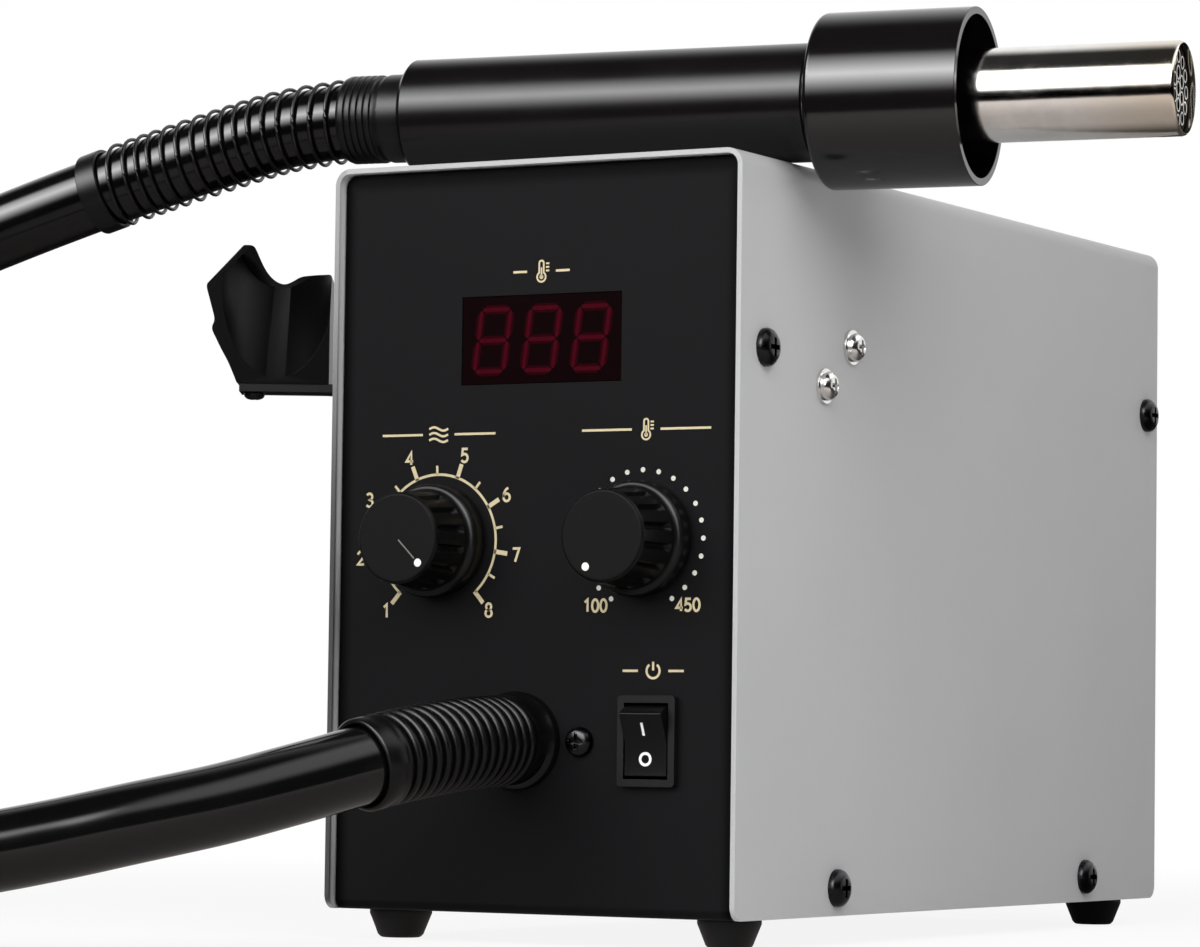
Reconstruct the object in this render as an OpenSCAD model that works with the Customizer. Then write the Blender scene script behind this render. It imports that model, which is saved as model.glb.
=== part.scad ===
// Hot air rework station: a sheet metal case with an air pump inside, two dials, a
// display and a rocker switch on its front, and a handset on a hose. Millimetres,
// +Z up. The origin is on the desk, under the middle of the case. The front faces -Y.

/* [Case] */
// Width of the case across its front
case_w = 110; // [104:1:130]
// Depth of the case, front edge to rear edge of the cover
case_d = 250; // [240:1:290]
// Height of the cover
case_h = 177; // [172:1:200]
// Thickness of the sheet metal
sheet_t = 1.2; // [0.8:0.1:1.6]
// Outer bend radius along the cover's two top edges
cover_bend_r = 4; // [3:0.5:8]
// Radius of the lower corners of the cover's sides
cover_corner_r = 3.5; // [1:0.5:6]
// Distance from the cover's edge in to the front and rear panels
panel_recess = 2.5; // [1:0.5:5]
// Gap between the cover and the chassis
seam_gap = 0.4; // [0.2:0.1:0.8]
// Depth of the flanges folded back from the front and rear panels
flange_d = 17; // [15:1:20]
// Height of the flanges folded up from the chassis floor
floor_flange_h = 14; // [12:1:18]

/* [Feet] */
// Height of the rubber feet
foot_h = 7; // [5:0.5:12]
// Diameter of a foot where it meets the chassis
foot_base_d = 15; // [12:0.5:20]
// Diameter of a foot at the desk
foot_tip_d = 11; // [9:0.5:12]
// Distance from the case's side to a foot's centre
foot_inset_x = 10.5; // [10:0.5:16]
// Distance from the case's front or rear to a foot's centre
foot_inset_y = 18; // [14:1:30]

/* [Cover screws] */
// Head diameter of the cover screws
cover_screw_head_d = 9; // [7:0.5:10]
// Thread diameter of the cover screws
cover_screw_d = 4; // [3:0.5:5]
// Distance from the front edge to the upper front screws
upper_front_inset = 12.3; // [11:0.1:14]
// Distance from the rear edge to the upper rear screws
upper_rear_inset = 8; // [7:0.5:12]
// Height of the upper screws above the cover's lower edge
upper_screw_h = 131.8; // [110:0.1:140]
// Distance from the front edge to the lower front screws
lower_front_inset = 52.4; // [40:0.1:70]
// Distance from the rear edge to the lower rear screws
lower_rear_inset = 48.8; // [40:0.1:70]
// Height of the lower screws above the cover's lower edge
lower_screw_h = 6.6; // [5:0.1:8]

/* [Display] */
// Width of the display window
window_w = 43.2; // [40:0.1:50]
// Height of the display window
window_h = 21; // [19:0.1:26]
// Sideways place of the window's centre
window_x = 1; // [-8:0.5:8]
// Height of the window's centre above the cover's lower edge
window_z = 134.7; // [128:0.1:145]
// Thickness of the window
window_t = 2; // [1.5:0.1:3]
// Height of one display digit
digit_h = 14.2; // [12:0.1:16]

/* [Dials] */
// Sideways place of the air dial
air_dial_x = -26.4; // [-30:0.1:-24]
// Sideways place of the temperature dial
temp_dial_x = 28.7; // [24:0.1:30]
// Height of the dials above the cover's lower edge
dial_z = 87.3; // [80:0.1:95]
// Diameter of the knob's skirt at the panel
knob_skirt_d = 27; // [24:0.5:28]
// Diameter of the knob's front face
knob_face_d = 21; // [18:0.5:22]
// Length of the knob along its axis
knob_len = 18.2; // [15:0.1:20]
// Length of the knob's skirt along its axis
knob_skirt_len = 6; // [4:0.5:8]
// Number of grip flutes round a knob
knob_flutes = 15; // [10:1:20]
// Gap between a knob and the panel
knob_gap = 0.7; // [0.5:0.1:1.5]
// Diameter of the control shafts
shaft_d = 6; // [5:0.1:6.4]
// Diameter of the threaded bush round each shaft
bush_d = 7.2; // [7:0.1:8.6]

/* [Power switch] */
// Width of the switch bezel
switch_w = 15; // [14:0.1:17]
// Height of the switch bezel
switch_h = 21; // [20:0.1:23]
// Sideways place of the switch
switch_x = 31.3; // [26:0.1:36]
// Height of the switch's centre above the cover's lower edge
switch_z = 40.7; // [34:0.1:48]
// Travel of the rocker in degrees
rocker_travel = 24; // [16:1:26]
// Diameter of the rocker's pivot pin
rocker_pin_d = 2.4; // [2:0.1:3]

/* [Hose] */
// Outer diameter of the air hose
hose_d = 18; // [16:0.5:18]
// Sideways place of the hose outlet
hose_x = -4; // [-8:0.5:2]
// Height of the hose outlet above the cover's lower edge
hose_z = 40.4; // [36:0.1:46]
// Length of the ribbed boot along its curve
boot_len = 55.6; // [50:0.1:60]
// Diameter of the boot's flange on the panel
boot_flange_d = 23.2; // [22:0.1:26]
// Diameter of the boot's ribs
boot_rib_d = 21.4; // [20:0.1:23]
// Number of ribs on the boot
boot_ribs = 15; // [10:1:16]
// Sideways bend of the boot in degrees
boot_yaw = 19; // [0:1:30]
// Droop of the boot in degrees
boot_droop = 12.5; // [0:0.5:20]
// Spacing of the two screws beside the boot
boot_screw_pitch = 34; // [32:0.5:38]

/* [Handset] */
// Diameter of the handle
handle_d = 28; // [25:0.1:30]
// Length of the handle
handle_len = 105; // [90:1:120]
// Wall of the handle
handle_wall = 2.4; // [1.8:0.1:3]
// Outer diameter of the guard collar
collar_d = 41.6; // [38:0.1:44]
// Length of the guard collar
collar_len = 36.8; // [30:0.1:40]
// Wall of the guard collar
collar_wall = 1.8; // [1.4:0.1:2.4]
// Outer diameter of the heater pipe
pipe_d = 22; // [20:0.1:23]
// Length of pipe that shows in front of the collar
pipe_reach = 48.7; // [40:0.1:60]
// Wall of the heater pipe
pipe_wall = 0.6; // [0.4:0.1:0.8]
// Turn of the handset on the case in degrees
handset_yaw = 8.3; // [0:0.1:12]
// Sideways place of the collar's back end
collar_x = 60.8; // [59:0.1:75]
// Distance of the collar's back end from the front of the cover
collar_y = 32.2; // [22:0.1:60]
// Diameter of the rear grommet
grommet_d = 21.4; // [20:0.1:23]
// Length of the rear grommet outside the handle
grommet_len = 17; // [14:0.5:22]
// Outer diameter of the strain relief spring
spring_d = 20.6; // [20.2:0.1:22]
// Wire diameter of the spring
spring_wire_d = 0.9; // [0.7:0.1:1]
// Turns of the spring
spring_turns = 16; // [10:1:18]

/* [Holder] */
// Distance from the case's side to the centre of the cradle's front lip
cradle_reach = 27; // [25:0.5:34]
// Turn of the cradle away from the case in degrees
cradle_yaw = 30; // [15:1:35]
// Width of the cradle
cradle_w = 29.8; // [29:0.1:34]
// Height of the cradle above the holder's arm
cradle_h = 36.1; // [35:0.1:42]
// Depth of the cradle from front to rear
cradle_depth = 22; // [20:0.5:28]
// Radius of the cradle's trough
cradle_r = 13.8; // [13:0.1:14.5]
// Slope of the cradle's trough in degrees
cradle_slope = 53; // [45:1:56]
// Diameter of the screw under the cradle
cradle_screw_d = 3; // [2.5:0.1:4]
// Thickness of the holder's arm and wall plate
holder_t = 2; // [1.5:0.1:2.5]
// Distance from the front edge to the first holder screw
holder_screw_y1 = 43.1; // [40:0.1:50]
// Height of the first holder screw above the cover's lower edge
holder_screw_z1 = 125.1; // [120:0.1:130]
// Distance from the front edge to the second holder screw
holder_screw_y2 = 57.4; // [54:0.1:62]
// Height of the second holder screw above the cover's lower edge
holder_screw_z2 = 135.4; // [130:0.1:140]
// Thread diameter of the holder screws
holder_screw_d = 3.5; // [3:0.1:4]

/* [Inside] */
// Distance from the front panel to the control board
board_gap = 11; // [10:0.5:14]
// Thickness of the circuit boards
board_t = 1.6; // [1:0.1:2]
// Length of the pump's chambers along the pump
chamber_len = 24; // [20:1:30]
// Diameter of the pump's chambers
chamber_d = 50; // [44:1:56]
// Length of the pump's magnet core
core_len = 56; // [48:1:60]
// Height of the pump's rubber mounts
pump_mount_h = 9; // [7:0.5:10]
// Distance from the front panel to the pump's front chamber
pump_y = 62; // [56:1:76]

/* [Hidden] */
$fn = 64;

eps = 0.01;
play = 0.05;            // running clearance of a shaft in its hole, on the radius
seat = 0.3;             // clearance between pieces that only come close

base_z = foot_h;
top_z = base_z + case_h;
floor_z = base_z + sheet_t;
front_y = -case_d / 2;
rear_y = case_d / 2;
panel_y = front_y + panel_recess;
panel_in_y = panel_y + sheet_t;
back_y = rear_y - panel_recess;
back_in_y = back_y - sheet_t;
side_x = case_w / 2;
chassis_w = case_w - 2 * (sheet_t + seam_gap);
chassis_side = chassis_w / 2;
panel_top_z = top_z - sheet_t - seam_gap;
sheet_bend_r = 2 * sheet_t;

// Places of the cover screws along Y and Z
cover_screw_at = [
    [front_y + upper_front_inset, base_z + upper_screw_h],
    [rear_y - upper_rear_inset, base_z + upper_screw_h],
    [front_y + lower_front_inset, base_z + lower_screw_h],
    [rear_y - lower_rear_inset, base_z + lower_screw_h]];
cover_screw_head_h = 2.8;
cover_screw_len = 7;
holder_screw_at = [
    [front_y + holder_screw_y1, base_z + holder_screw_z1],
    [front_y + holder_screw_y2, base_z + holder_screw_z2]];
holder_screw_head_d = 6.8;
holder_screw_head_h = 2.4;
holder_washer_d = 8.4;
washer_t = 0.8;
nut_t = 2.6;
nut_flats = 6;

foot_at = [for (sx = [-1, 1], sy = [-1, 1])
    [sx * (side_x - foot_inset_x), sy * (rear_y - foot_inset_y)]];
foot_screw_d = 3.5;
foot_screw_head_d = 6.6;

display_z = base_z + window_z;
window_lip = 2;
window_setback = 0.3;
module_w = 37.6;
module_h = 19;
dials_z = base_z + dial_z;
dial_at = [air_dial_x, temp_dial_x];
bush_len = 6;
control_body_d = 16.5;
control_nut_t = 2.2;
control_nut_flats = 10;
knob_back_y = panel_y - knob_gap;
knob_face_y = knob_back_y - knob_len;
knob_shoulder_d = 24.8;
knob_grip_d = 23.4;
flute_d = 2.6;
dot_r = 7.8;
dot_d = 2.2;

switch_at_z = base_z + switch_z;
bezel_t = 2;
bezel_rim = 1.7;
switch_body_w = switch_w - 2;
switch_body_h = switch_h - 1.6;
switch_body_d = 14;
rocker_w = switch_w - 2 * bezel_rim - 0.6;
rocker_r = (switch_h - 2 * bezel_rim) / 2 - 0.4;
rocker_depth = 5;
rocker_pin_len = switch_body_w - 0.9;

hose_at_z = base_z + hose_z;
hose_hole_d = boot_flange_d - 2;
boot_steps = 60;
cup_depth = 8;
hose_end_gap = 0.1;
boot_screw_head_d = 7;
boot_screw_d = 3;
fitting_t = 3;

control_board_y = panel_in_y + board_gap;
board_side_gap = 6;
board_top_gap = 8;
board_bottom_gap = 17.3;
board_w = chassis_w - 2 * board_side_gap;
board_bottom_z = base_z + dial_z - board_bottom_gap;
board_top_z = panel_top_z - board_top_gap;
standoff_d = 6;
standoff_inset = 4.5;
board_hole_d = 2.6;
power_board_gap = 12;
power_board_y = back_in_y - power_board_gap - board_t;
power_board_w = 88;
power_board_h = 72;
power_board_drop = 12;
power_board_z = top_z - power_board_drop - power_board_h;
transformer_size = [40, 30, 34];
transformer_x = -34;
transformer_rise = 20;
bobbin_t = 4;
bobbin_inset = 6;
heat_sink_size = [26, 18, 40];
heat_sink_x = 12;
heat_sink_rise = 16;
heat_sink_base_t = 3;
heat_sink_fins = 7;
heat_sink_fin_t = 1.4;

pump_x = hose_x;
pump_z = hose_at_z;
chamber_front_y = panel_in_y + pump_y;
core_y = chamber_front_y + chamber_len;
pump_len = 2 * chamber_len + core_len;
core_w = 46;
core_h = 40;
core_inset = 8;         // from each chamber to the core
coil_inset = 4;         // from each chamber to the coil
core_limb = 10;
coil_play = 0.2;
coil_corner_r = 4;
pump_plate_t = 2;
pump_plate_w = 74;
pump_plate_z = floor_z + pump_mount_h;
pump_foot_w = 34;
pump_mount_x = 29;
pump_mount_inset = 16;
tube_d = 13;
barb_d = 9;
tube_bore_d = barb_d + 2 * play;
nozzle_len = 9;

inlet_x = 18;
inlet_z = base_z + 28;
inlet_w = 27;
inlet_h = 20;
inlet_flange_w = 50;
inlet_flange_h = 24;
inlet_flange_t = 3;
inlet_body_d = 20;
inlet_screw_pitch = 40;
fuse_x = -28;
fuse_hole_d = 12.6;
vent_rows = 8;
vent_w = 52;
vent_h = 3;
vent_pitch = 6.5;
vent_z = base_z + 46;

axis_z = top_z + handle_d / 2;
collar_floor = 3;
collar_edge_r = 1.5;
pipe_flange_d = 36;
pipe_flange_t = 0.8;
pipe_screw_d = 2.6;
pipe_screw_head_d = 4.6;
pipe_screw_head_h = 1.8;
pipe_inside = 30;
// the pipe's rear end is drawn down by this much, so that the flange meets a shoulder
pipe_neck = 0.2;
core_hole_d = 3.2;
heater_core_len = 46;
core_recess = 1.6;
mica_t = 0.35;
grommet_step = 2.5;
spring_sides = 6;
spring_steps = 12;
ring_len = 5.4;

// Route of the hose's centre: its start as steps from the grommet's end, the bend down to
// the desk and the loop on it as places, and its end as steps from the boot's mouth.
grommet_route = [
    [-17, -2.5, -2], [-32, -4.5, -5.5], [-48, -7, -10], [-63, -9.5, -14.5], [-94, -14, -24.5],
    [-128, -18, -36.5]];
desk_route = [
    [-219, -135, 144], [-246, -141, 122], [-269, -147.5, 96], [-289, -156, 68], [-309, -168, 41.5],
    [-328, -186, 23], [-343, -212, 12.5], [-349, -244, 9.5], [-342, -276, 9], [-320, -302, 9],
    [-288, -316, 9], [-253, -318, 9], [-220, -313, 9], [-190, -304.5, 9.5], [-160, -293, 11],
    [-131, -279, 13.5], [-108, -266, 16]];
boot_route = [
    [-74, -75, -23], [-59, -65, -20.5], [-44.5, -54.5, -17], [-30.5, -44, -13], [-18, -31, -9],
    [-8, -16.5, -4.5], [0, 0, 0]];
hose_sides = 12;

function unit(v) = v / norm(v);

// Points and headings of the boot's centre line, s from 0 at the panel to boot_len
function boot_dir(s) =
    let (a = boot_yaw * s / boot_len, b = boot_droop * s / boot_len)
    [-sin(a) * cos(b), -cos(a) * cos(b), -sin(b)];
function boot_walk(i) = i == 0 ? [[hose_x, panel_y, hose_at_z]] :
    let (before = boot_walk(i - 1), step = boot_len / boot_steps)
    concat(before, [before[i - 1] + step * boot_dir((i - 0.5) * step)]);
boot_line = boot_walk(boot_steps);
function boot_at(s) =
    let (u = s / boot_len * boot_steps, i = max(0, min(floor(u), boot_steps - 1)))
    boot_line[i] + (u - i) * (boot_line[i + 1] - boot_line[i]);

// Place of a point t millimetres forward of the handle's rear end, on the handset's axis
collar_at = [collar_x, front_y + collar_y, axis_z];
handset_dir = [cos(handset_yaw), sin(handset_yaw), 0];
function on_handset(t) = collar_at + (t - handle_len) * handset_dir;
grommet_end = on_handset(-grommet_len);

hose_points = concat(
    [grommet_end], [for (p = grommet_route) grommet_end + p], desk_route,
    [for (p = boot_route) boot_at(boot_len) + p], [boot_at(boot_len - cup_depth + hose_end_gap)]);
hose_last = len(hose_points) - 1;
function hose_heading(i) =
    i == 0 ? -handset_dir :
    i == hose_last ? -boot_dir(boot_len - cup_depth) :
    unit(hose_points[i + 1] - hose_points[i - 1]);

// Smooth curve through four points, u from 0 to 1 between the middle two
function curve(a, b, c, d, u) = 0.5 * (2 * b + (c - a) * u
    + (2 * a - 5 * b + 4 * c - d) * u * u + (3 * b - a - 3 * c + d) * u * u * u);
function hose_curve(v) =
    let (i = floor(v), u = v - i, first = 2 * hose_points[0] - hose_points[1])
    curve(i == 0 ? first : hose_points[i - 1], hose_points[i], hose_points[i + 1], hose_points[i + 2], u);
function hose_curve_dir(v) = unit(hose_curve(v + 0.02) - hose_curve(v - min(v, 0.02)));

// Two directions across a heading, the first level and the second upward
function across(d) = unit([d[1], -d[0], 0]);
function upward(d) = cross(across(d), d);
function ring_at(p, d, r, sides) = [for (k = [0 : sides - 1])
    p + r * (cos(360 * k / sides) * across(d) + sin(360 * k / sides) * upward(d))];

// A closed solid through rings of points, all with the same number of sides
module loft(rings) {
    n = len(rings[0]);
    last = len(rings) - 1;
    polyhedron(
        points = [for (r = rings) each r],
        faces = concat(
            [[for (k = [0 : n - 1]) k]],
            [for (i = [0 : last - 1], k = [0 : n - 1]) each [
                [i * n + k, (i + 1) * n + k, (i + 1) * n + (k + 1) % n],
                [i * n + k, (i + 1) * n + (k + 1) % n, i * n + (k + 1) % n]]],
            [[for (k = [n - 1 : -1 : 0]) last * n + k]]));
}

// Shapes used by several pieces

// Flat outline of a rectangle with round corners
module round_rect(w, h, r) {
    square([w - 2 * r, h], center = true);
    square([w, h - 2 * r], center = true);
    for (sx = [-1, 1], sy = [-1, 1])
        translate([sx * (w / 2 - r), sy * (h / 2 - r)]) circle(r);
}

// A solid drawn in X and Z and given its depth along +Y from y
module front_plate(y, depth) {
    translate([0, y + depth, 0]) rotate([90, 0, 0]) linear_extrude(depth) children();
}

// A round bar along +Y from y
module rod_y(x, y, z, d, len) {
    translate([x, y, z]) rotate([-90, 0, 0]) cylinder(d = d, h = len);
}

// A round bar along +X from x
module rod_x(x, y, z, d, len) {
    translate([x, y, z]) rotate([0, 90, 0]) cylinder(d = d, h = len);
}

// A hexagonal nut along +Z, from z = 0
module nut(flats, t, bore) {
    difference() {
        cylinder(d = flats / cos(30), h = t, $fn = 6);
        translate([0, 0, -1]) cylinder(d = bore, h = t + 2);
    }
}

// A pan head screw along -Z with its head from z = 0 up
module pan_screw(head_d, head_h, d, len) {
    edge = head_h / 3;
    rotate_extrude() polygon([[0, -len], [d / 2, -len], [d / 2, 0], [head_d / 2, 0], [head_d / 2, edge],
        [head_d * 0.46, head_h * 0.62], [head_d * 0.36, head_h * 0.88], [head_d * 0.22, head_h],
        [0, head_h]]);
}

// Cross recess of a screw head whose top is at z = 0
module cross_recess(head_d) {
    arm = head_d * 0.5;
    slot_w = head_d * 0.13;
    depth = head_d * 0.16;
    for (a = [0, 90])
        rotate([0, 0, a]) translate([-arm / 2, -slot_w / 2, -depth]) cube([arm, slot_w, depth + 1]);
}

module cross_screw(head_d, head_h, d, len) {
    difference() {
        pan_screw(head_d, head_h, d, len);
        translate([0, 0, head_h]) cross_recess(head_d);
    }
}

// Turns +Z to point out of the case's right (+1) or left (-1) side
module on_side(side, y, z) {
    translate([side * side_x, y, z]) rotate([0, side * 90, 0]) children();
}

// Sheet metal

// Outline of an upside-down U of sheet with bent corners, open below
module sheet_u(w, h, r) {
    difference() {
        union() {
            translate([-w / 2, 0]) square([w, h - r]);
            translate([-w / 2 + r, 0]) square([w - 2 * r, h]);
            for (s = [-1, 1]) translate([s * (w / 2 - r), h - r]) circle(r);
        }
        translate([-w / 2 + sheet_t, -1]) square([w - 2 * sheet_t, h - r + 1]);
        translate([-w / 2 + r, -1]) square([w - 2 * r, h - sheet_t + 1]);
        for (s = [-1, 1]) translate([s * (w / 2 - r), h - r]) circle(r - sheet_t);
    }
}

// Cuts a lower corner of the cover's sides to its radius
module corner_cut(s) {
    r = cover_corner_r;
    translate([-side_x - 1, s * rear_y, base_z]) difference() {
        translate([0, s > 0 ? -r : -1, -1]) cube([case_w + 2, r + 1, r + 1]);
        translate([-1, -s * r, r]) rotate([0, 90, 0]) cylinder(r = r, h = case_w + 4);
    }
}

module cover() {
    color("silver") difference() {
        translate([0, rear_y, base_z]) rotate([90, 0, 0]) linear_extrude(case_d)
            sheet_u(case_w, case_h, cover_bend_r);
        for (s = [-1, 1]) corner_cut(s);
        for (p = cover_screw_at)
            rod_x(-side_x - 1, p[0], p[1], cover_screw_d + 0.6, case_w + 2);
        for (p = holder_screw_at)
            rod_x(-side_x - 1, p[0], p[1], holder_screw_d + 2 * play, case_w + 2);
    }
}

// Front panel, floor and rear panel bent from one sheet, as a line seen from the side
module chassis_sheet() {
    run = back_y - panel_y;
    translate([-chassis_side, 0, 0]) rotate([90, 0, 90]) linear_extrude(chassis_w)
        translate([(panel_y + back_y) / 2, panel_top_z]) mirror([0, 1])
            sheet_u(run, panel_top_z - base_z, sheet_bend_r);
}

module chassis_flanges() {
    low = floor_z + 6;
    high = panel_top_z - 2;
    for (s = [-1, 1]) {
        x = s > 0 ? chassis_side - sheet_t : -chassis_side;
        translate([x, panel_in_y - eps, low]) cube([sheet_t, flange_d, high - low]);
        translate([x, back_in_y - flange_d + eps, low]) cube([sheet_t, flange_d, high - low]);
        translate([x, panel_in_y + flange_d + 3, floor_z - eps])
            cube([sheet_t, back_in_y - panel_in_y - 2 * flange_d - 6, floor_flange_h]);
    }
    // folded lips along the top of both panels
    translate([-chassis_side + 3, panel_in_y - eps, panel_top_z - sheet_t])
        cube([chassis_w - 6, 8, sheet_t]);
    translate([-chassis_side + 3, back_in_y - 8 + eps, panel_top_z - sheet_t])
        cube([chassis_w - 6, 8, sheet_t]);
}

module chassis_front_cuts() {
    front_plate(panel_y - 1, sheet_t + 2) {
        translate([window_x, display_z]) square([window_w, window_h], center = true);
        for (x = dial_at) translate([x, dials_z]) circle(d = bush_d + 2 * play);
        translate([switch_x, switch_at_z]) square([switch_body_w, switch_body_h], center = true);
        translate([hose_x, hose_at_z]) circle(d = hose_hole_d);
        for (s = [-1, 1])
            translate([hose_x + s * boot_screw_pitch / 2, hose_at_z]) circle(d = boot_screw_d + 0.2);
    }
}

module chassis_rear_cuts() {
    front_plate(back_in_y - 1, sheet_t + 2) {
        translate([inlet_x, inlet_z]) square([inlet_w, inlet_h], center = true);
        for (s = [-1, 1])
            translate([inlet_x + s * inlet_screw_pitch / 2, inlet_z]) circle(d = boot_screw_d + 0.2);
        translate([fuse_x, inlet_z]) circle(d = fuse_hole_d);
        for (i = [0 : vent_rows - 1])
            translate([0, vent_z + i * vent_pitch]) round_rect(vent_w, vent_h, vent_h / 2 - eps);
    }
}

module chassis_floor_cuts() {
    for (p = foot_at)
        translate([p[0], p[1], base_z - 1]) cylinder(d = foot_screw_d + 0.2, h = sheet_t + 2);
    for (i = [-3 : 3]) for (s = [-1, 1])
        translate([s * 26, i * 9, base_z - 1]) linear_extrude(sheet_t + 2)
            round_rect(24, 3, 1.49);
}

// Rounds an upper corner of the panels, so that it clears the cover's bend
module panel_corner_cut(s) {
    r = cover_bend_r - sheet_t;
    translate([s * (chassis_side - r), rear_y, panel_top_z - r]) rotate([90, 0, 0]) difference() {
        translate([s > 0 ? 0 : -r - 1, 0, 0]) cube([r + 1, r + 1, case_d]);
        translate([0, 0, -1]) cylinder(r = r, h = case_d + 2);
    }
}

module chassis() {
    color([0.09, 0.09, 0.09]) difference() {
        union() {
            chassis_sheet();
            chassis_flanges();
        }
        chassis_front_cuts();
        chassis_rear_cuts();
        chassis_floor_cuts();
        for (s = [-1, 1]) panel_corner_cut(s);
        for (p = cover_screw_at)
            rod_x(-side_x - 1, p[0], p[1], cover_screw_d + 2 * play, case_w + 2);
    }
}

module feet() {
    color([0.05, 0.05, 0.05]) for (p = foot_at) translate([p[0], p[1], 0]) difference() {
        rotate_extrude() polygon([[0, 0], [foot_tip_d / 2 - 0.8, 0], [foot_tip_d / 2, 0.8],
            [foot_base_d / 2, foot_h - 1.2], [foot_base_d / 2, foot_h], [0, foot_h]]);
        translate([0, 0, -1]) cylinder(d = foot_screw_head_d + 0.4, h = foot_h / 2 + 1);
        translate([0, 0, -1]) cylinder(d = foot_screw_d, h = foot_h + 2);
    }
}

module foot_screws() {
    color("dimgray") for (p = foot_at) translate([p[0], p[1], foot_h / 2]) rotate([180, 0, 0])
        cross_screw(foot_screw_head_d, foot_h / 3, foot_screw_d, foot_h / 2 + sheet_t + 3);
}

module cover_screws() {
    color([0.08, 0.08, 0.08]) for (side = [-1, 1], p = cover_screw_at) on_side(side, p[0], p[1])
        cross_screw(cover_screw_head_d, cover_screw_head_h, cover_screw_d, cover_screw_len);
}

// Screw, washer and nut stack that goes through the cover's side
module spare_screws() {
    color("lightgray") for (p = holder_screw_at) on_side(1, p[0], p[1]) union() {
        translate([0, 0, washer_t])
            cross_screw(holder_screw_head_d, holder_screw_head_h, holder_screw_d,
                washer_t + sheet_t + nut_t + 2);
        cylinder(d = holder_washer_d, h = washer_t);
    }
}

module spare_nuts() {
    color("gray") for (p = holder_screw_at) on_side(1, p[0], p[1])
        translate([0, 0, -sheet_t - nut_t]) nut(nut_flats, nut_t, holder_screw_d);
}

// Holder on the left side

cradle_x = -side_x - cradle_reach;
cradle_inset = 19;
arm_rise = 0.5;
cradle_y = front_y + cradle_inset;
cradle_floor_z = holder_screw_at[0][1] + arm_rise;
cradle_low_z = cradle_floor_z + holder_t;
cradle_lip = 1.4;
cradle_back_t = 4;
cradle_screw_at = [-6.9, 5.5];
cradle_screw_head_d = 5.2;
cradle_screw_head_h = 1.7;
cradle_screw_grip = 4.5;
cradle_trough_u = -1.3;
cradle_rim = 1.3;
arm_depth = 13;
holder_pad_d = 16;
bracket_y0 = holder_screw_at[0][0] - holder_pad_d / 2;
bracket_y1 = holder_screw_at[1][0] + holder_pad_d / 2;
notch_gap = 1.6;
notch_w = holder_t + holder_screw_head_h + notch_gap;
notch_len = (holder_pad_d + holder_screw_head_d) / 2 + notch_gap;

// Place in X and Y of a point u across the cradle and v behind its front lip
function at_cradle(u, v) = [cradle_x + u * cos(cradle_yaw) - v * sin(cradle_yaw),
    cradle_y + u * sin(cradle_yaw) + v * cos(cradle_yaw)];

module on_cradle(u, v, z) {
    translate([cradle_x, cradle_y, z]) rotate([0, 0, cradle_yaw]) translate([u, v, 0]) children();
}

// Front view of the cradle as shares of its width and height, with the rounding of each
// corner in millimetres: a tall left horn, a low hump on the right and a dip between them
cradle_shape = [[-0.37, 0, 0.4], [-0.44, 0.14, 3], [-0.5, 0.225, 3], [-0.59, 0.375, 1.2],
    [-0.557, 0.43, 1.4], [-0.638, 0.67, 1.2], [-0.39, 1, 1.2], [-0.28, 1, 1.2], [-0.205, 0.86, 3],
    [-0.15, 0.79, 3], [-0.09, 0.745, 3], [-0.02, 0.724, 2.5], [0.05, 0.748, 3], [0.12, 0.787, 3],
    [0.25, 0.795, 3], [0.392, 0.78, 1.2], [0.392, 0, 0.4]];
horn_foot = 5;
horn_rake = 46.8;
horn_rise = 0.183;
horn_front_share = 0.94;

function cradle_point(i) = [cradle_shape[i][0] * cradle_w, cradle_shape[i][1] * cradle_h];

// Closed outline whose corners p are rounded from r millimetres before to r after each
function softened(p, r, steps) = [
    for (i = [0 : len(p) - 1])
        let (here = p[i], a = p[(i + len(p) - 1) % len(p)] - here, b = p[(i + 1) % len(p)] - here,
            from = here + unit(a) * min(r[i], norm(a) * 0.48),
            to = here + unit(b) * min(r[i], norm(b) * 0.48))
        for (k = [0 : steps]) let (u = k / steps)
            (1 - u) * (1 - u) * from + 2 * u * (1 - u) * here + u * u * to];

// Arm under the cradle, with a notch that clears the head of the first screw
module holder_arm() {
    difference() {
        translate([0, 0, cradle_floor_z]) linear_extrude(holder_t)
            polygon([at_cradle(-0.35 * cradle_w, seat), [-side_x, bracket_y0], [-side_x, bracket_y1],
                at_cradle(0.35 * cradle_w, arm_depth), at_cradle(-0.35 * cradle_w, arm_depth)]);
        translate([-side_x - notch_w, bracket_y0 - 1, cradle_floor_z - 1])
            cube([notch_w - holder_t, notch_len + 1, holder_t + 2]);
    }
}

// Sheet bracket: a plate on the case's side with the arm bent out of it
module holder_bracket() {
    color([0.1, 0.1, 0.1]) difference() {
        union() {
            translate([-side_x - holder_t, bracket_y0, cradle_floor_z])
                cube([holder_t, bracket_y1 - bracket_y0, holder_pad_d]);
            translate([-side_x, 0, 0]) rotate([0, -90, 0]) linear_extrude(holder_t)
                for (p = holder_screw_at) translate([p[1], p[0]]) circle(d = holder_pad_d);
            holder_arm();
        }
        for (p = holder_screw_at)
            rod_x(-side_x - holder_t - 1, p[0], p[1], holder_screw_d + 2 * play, holder_t + 2);
        on_cradle(cradle_screw_at[0], cradle_screw_at[1], cradle_floor_z - 1)
            cylinder(d = cradle_screw_d + 2 * play, h = holder_t + 2);
    }
}

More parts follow.
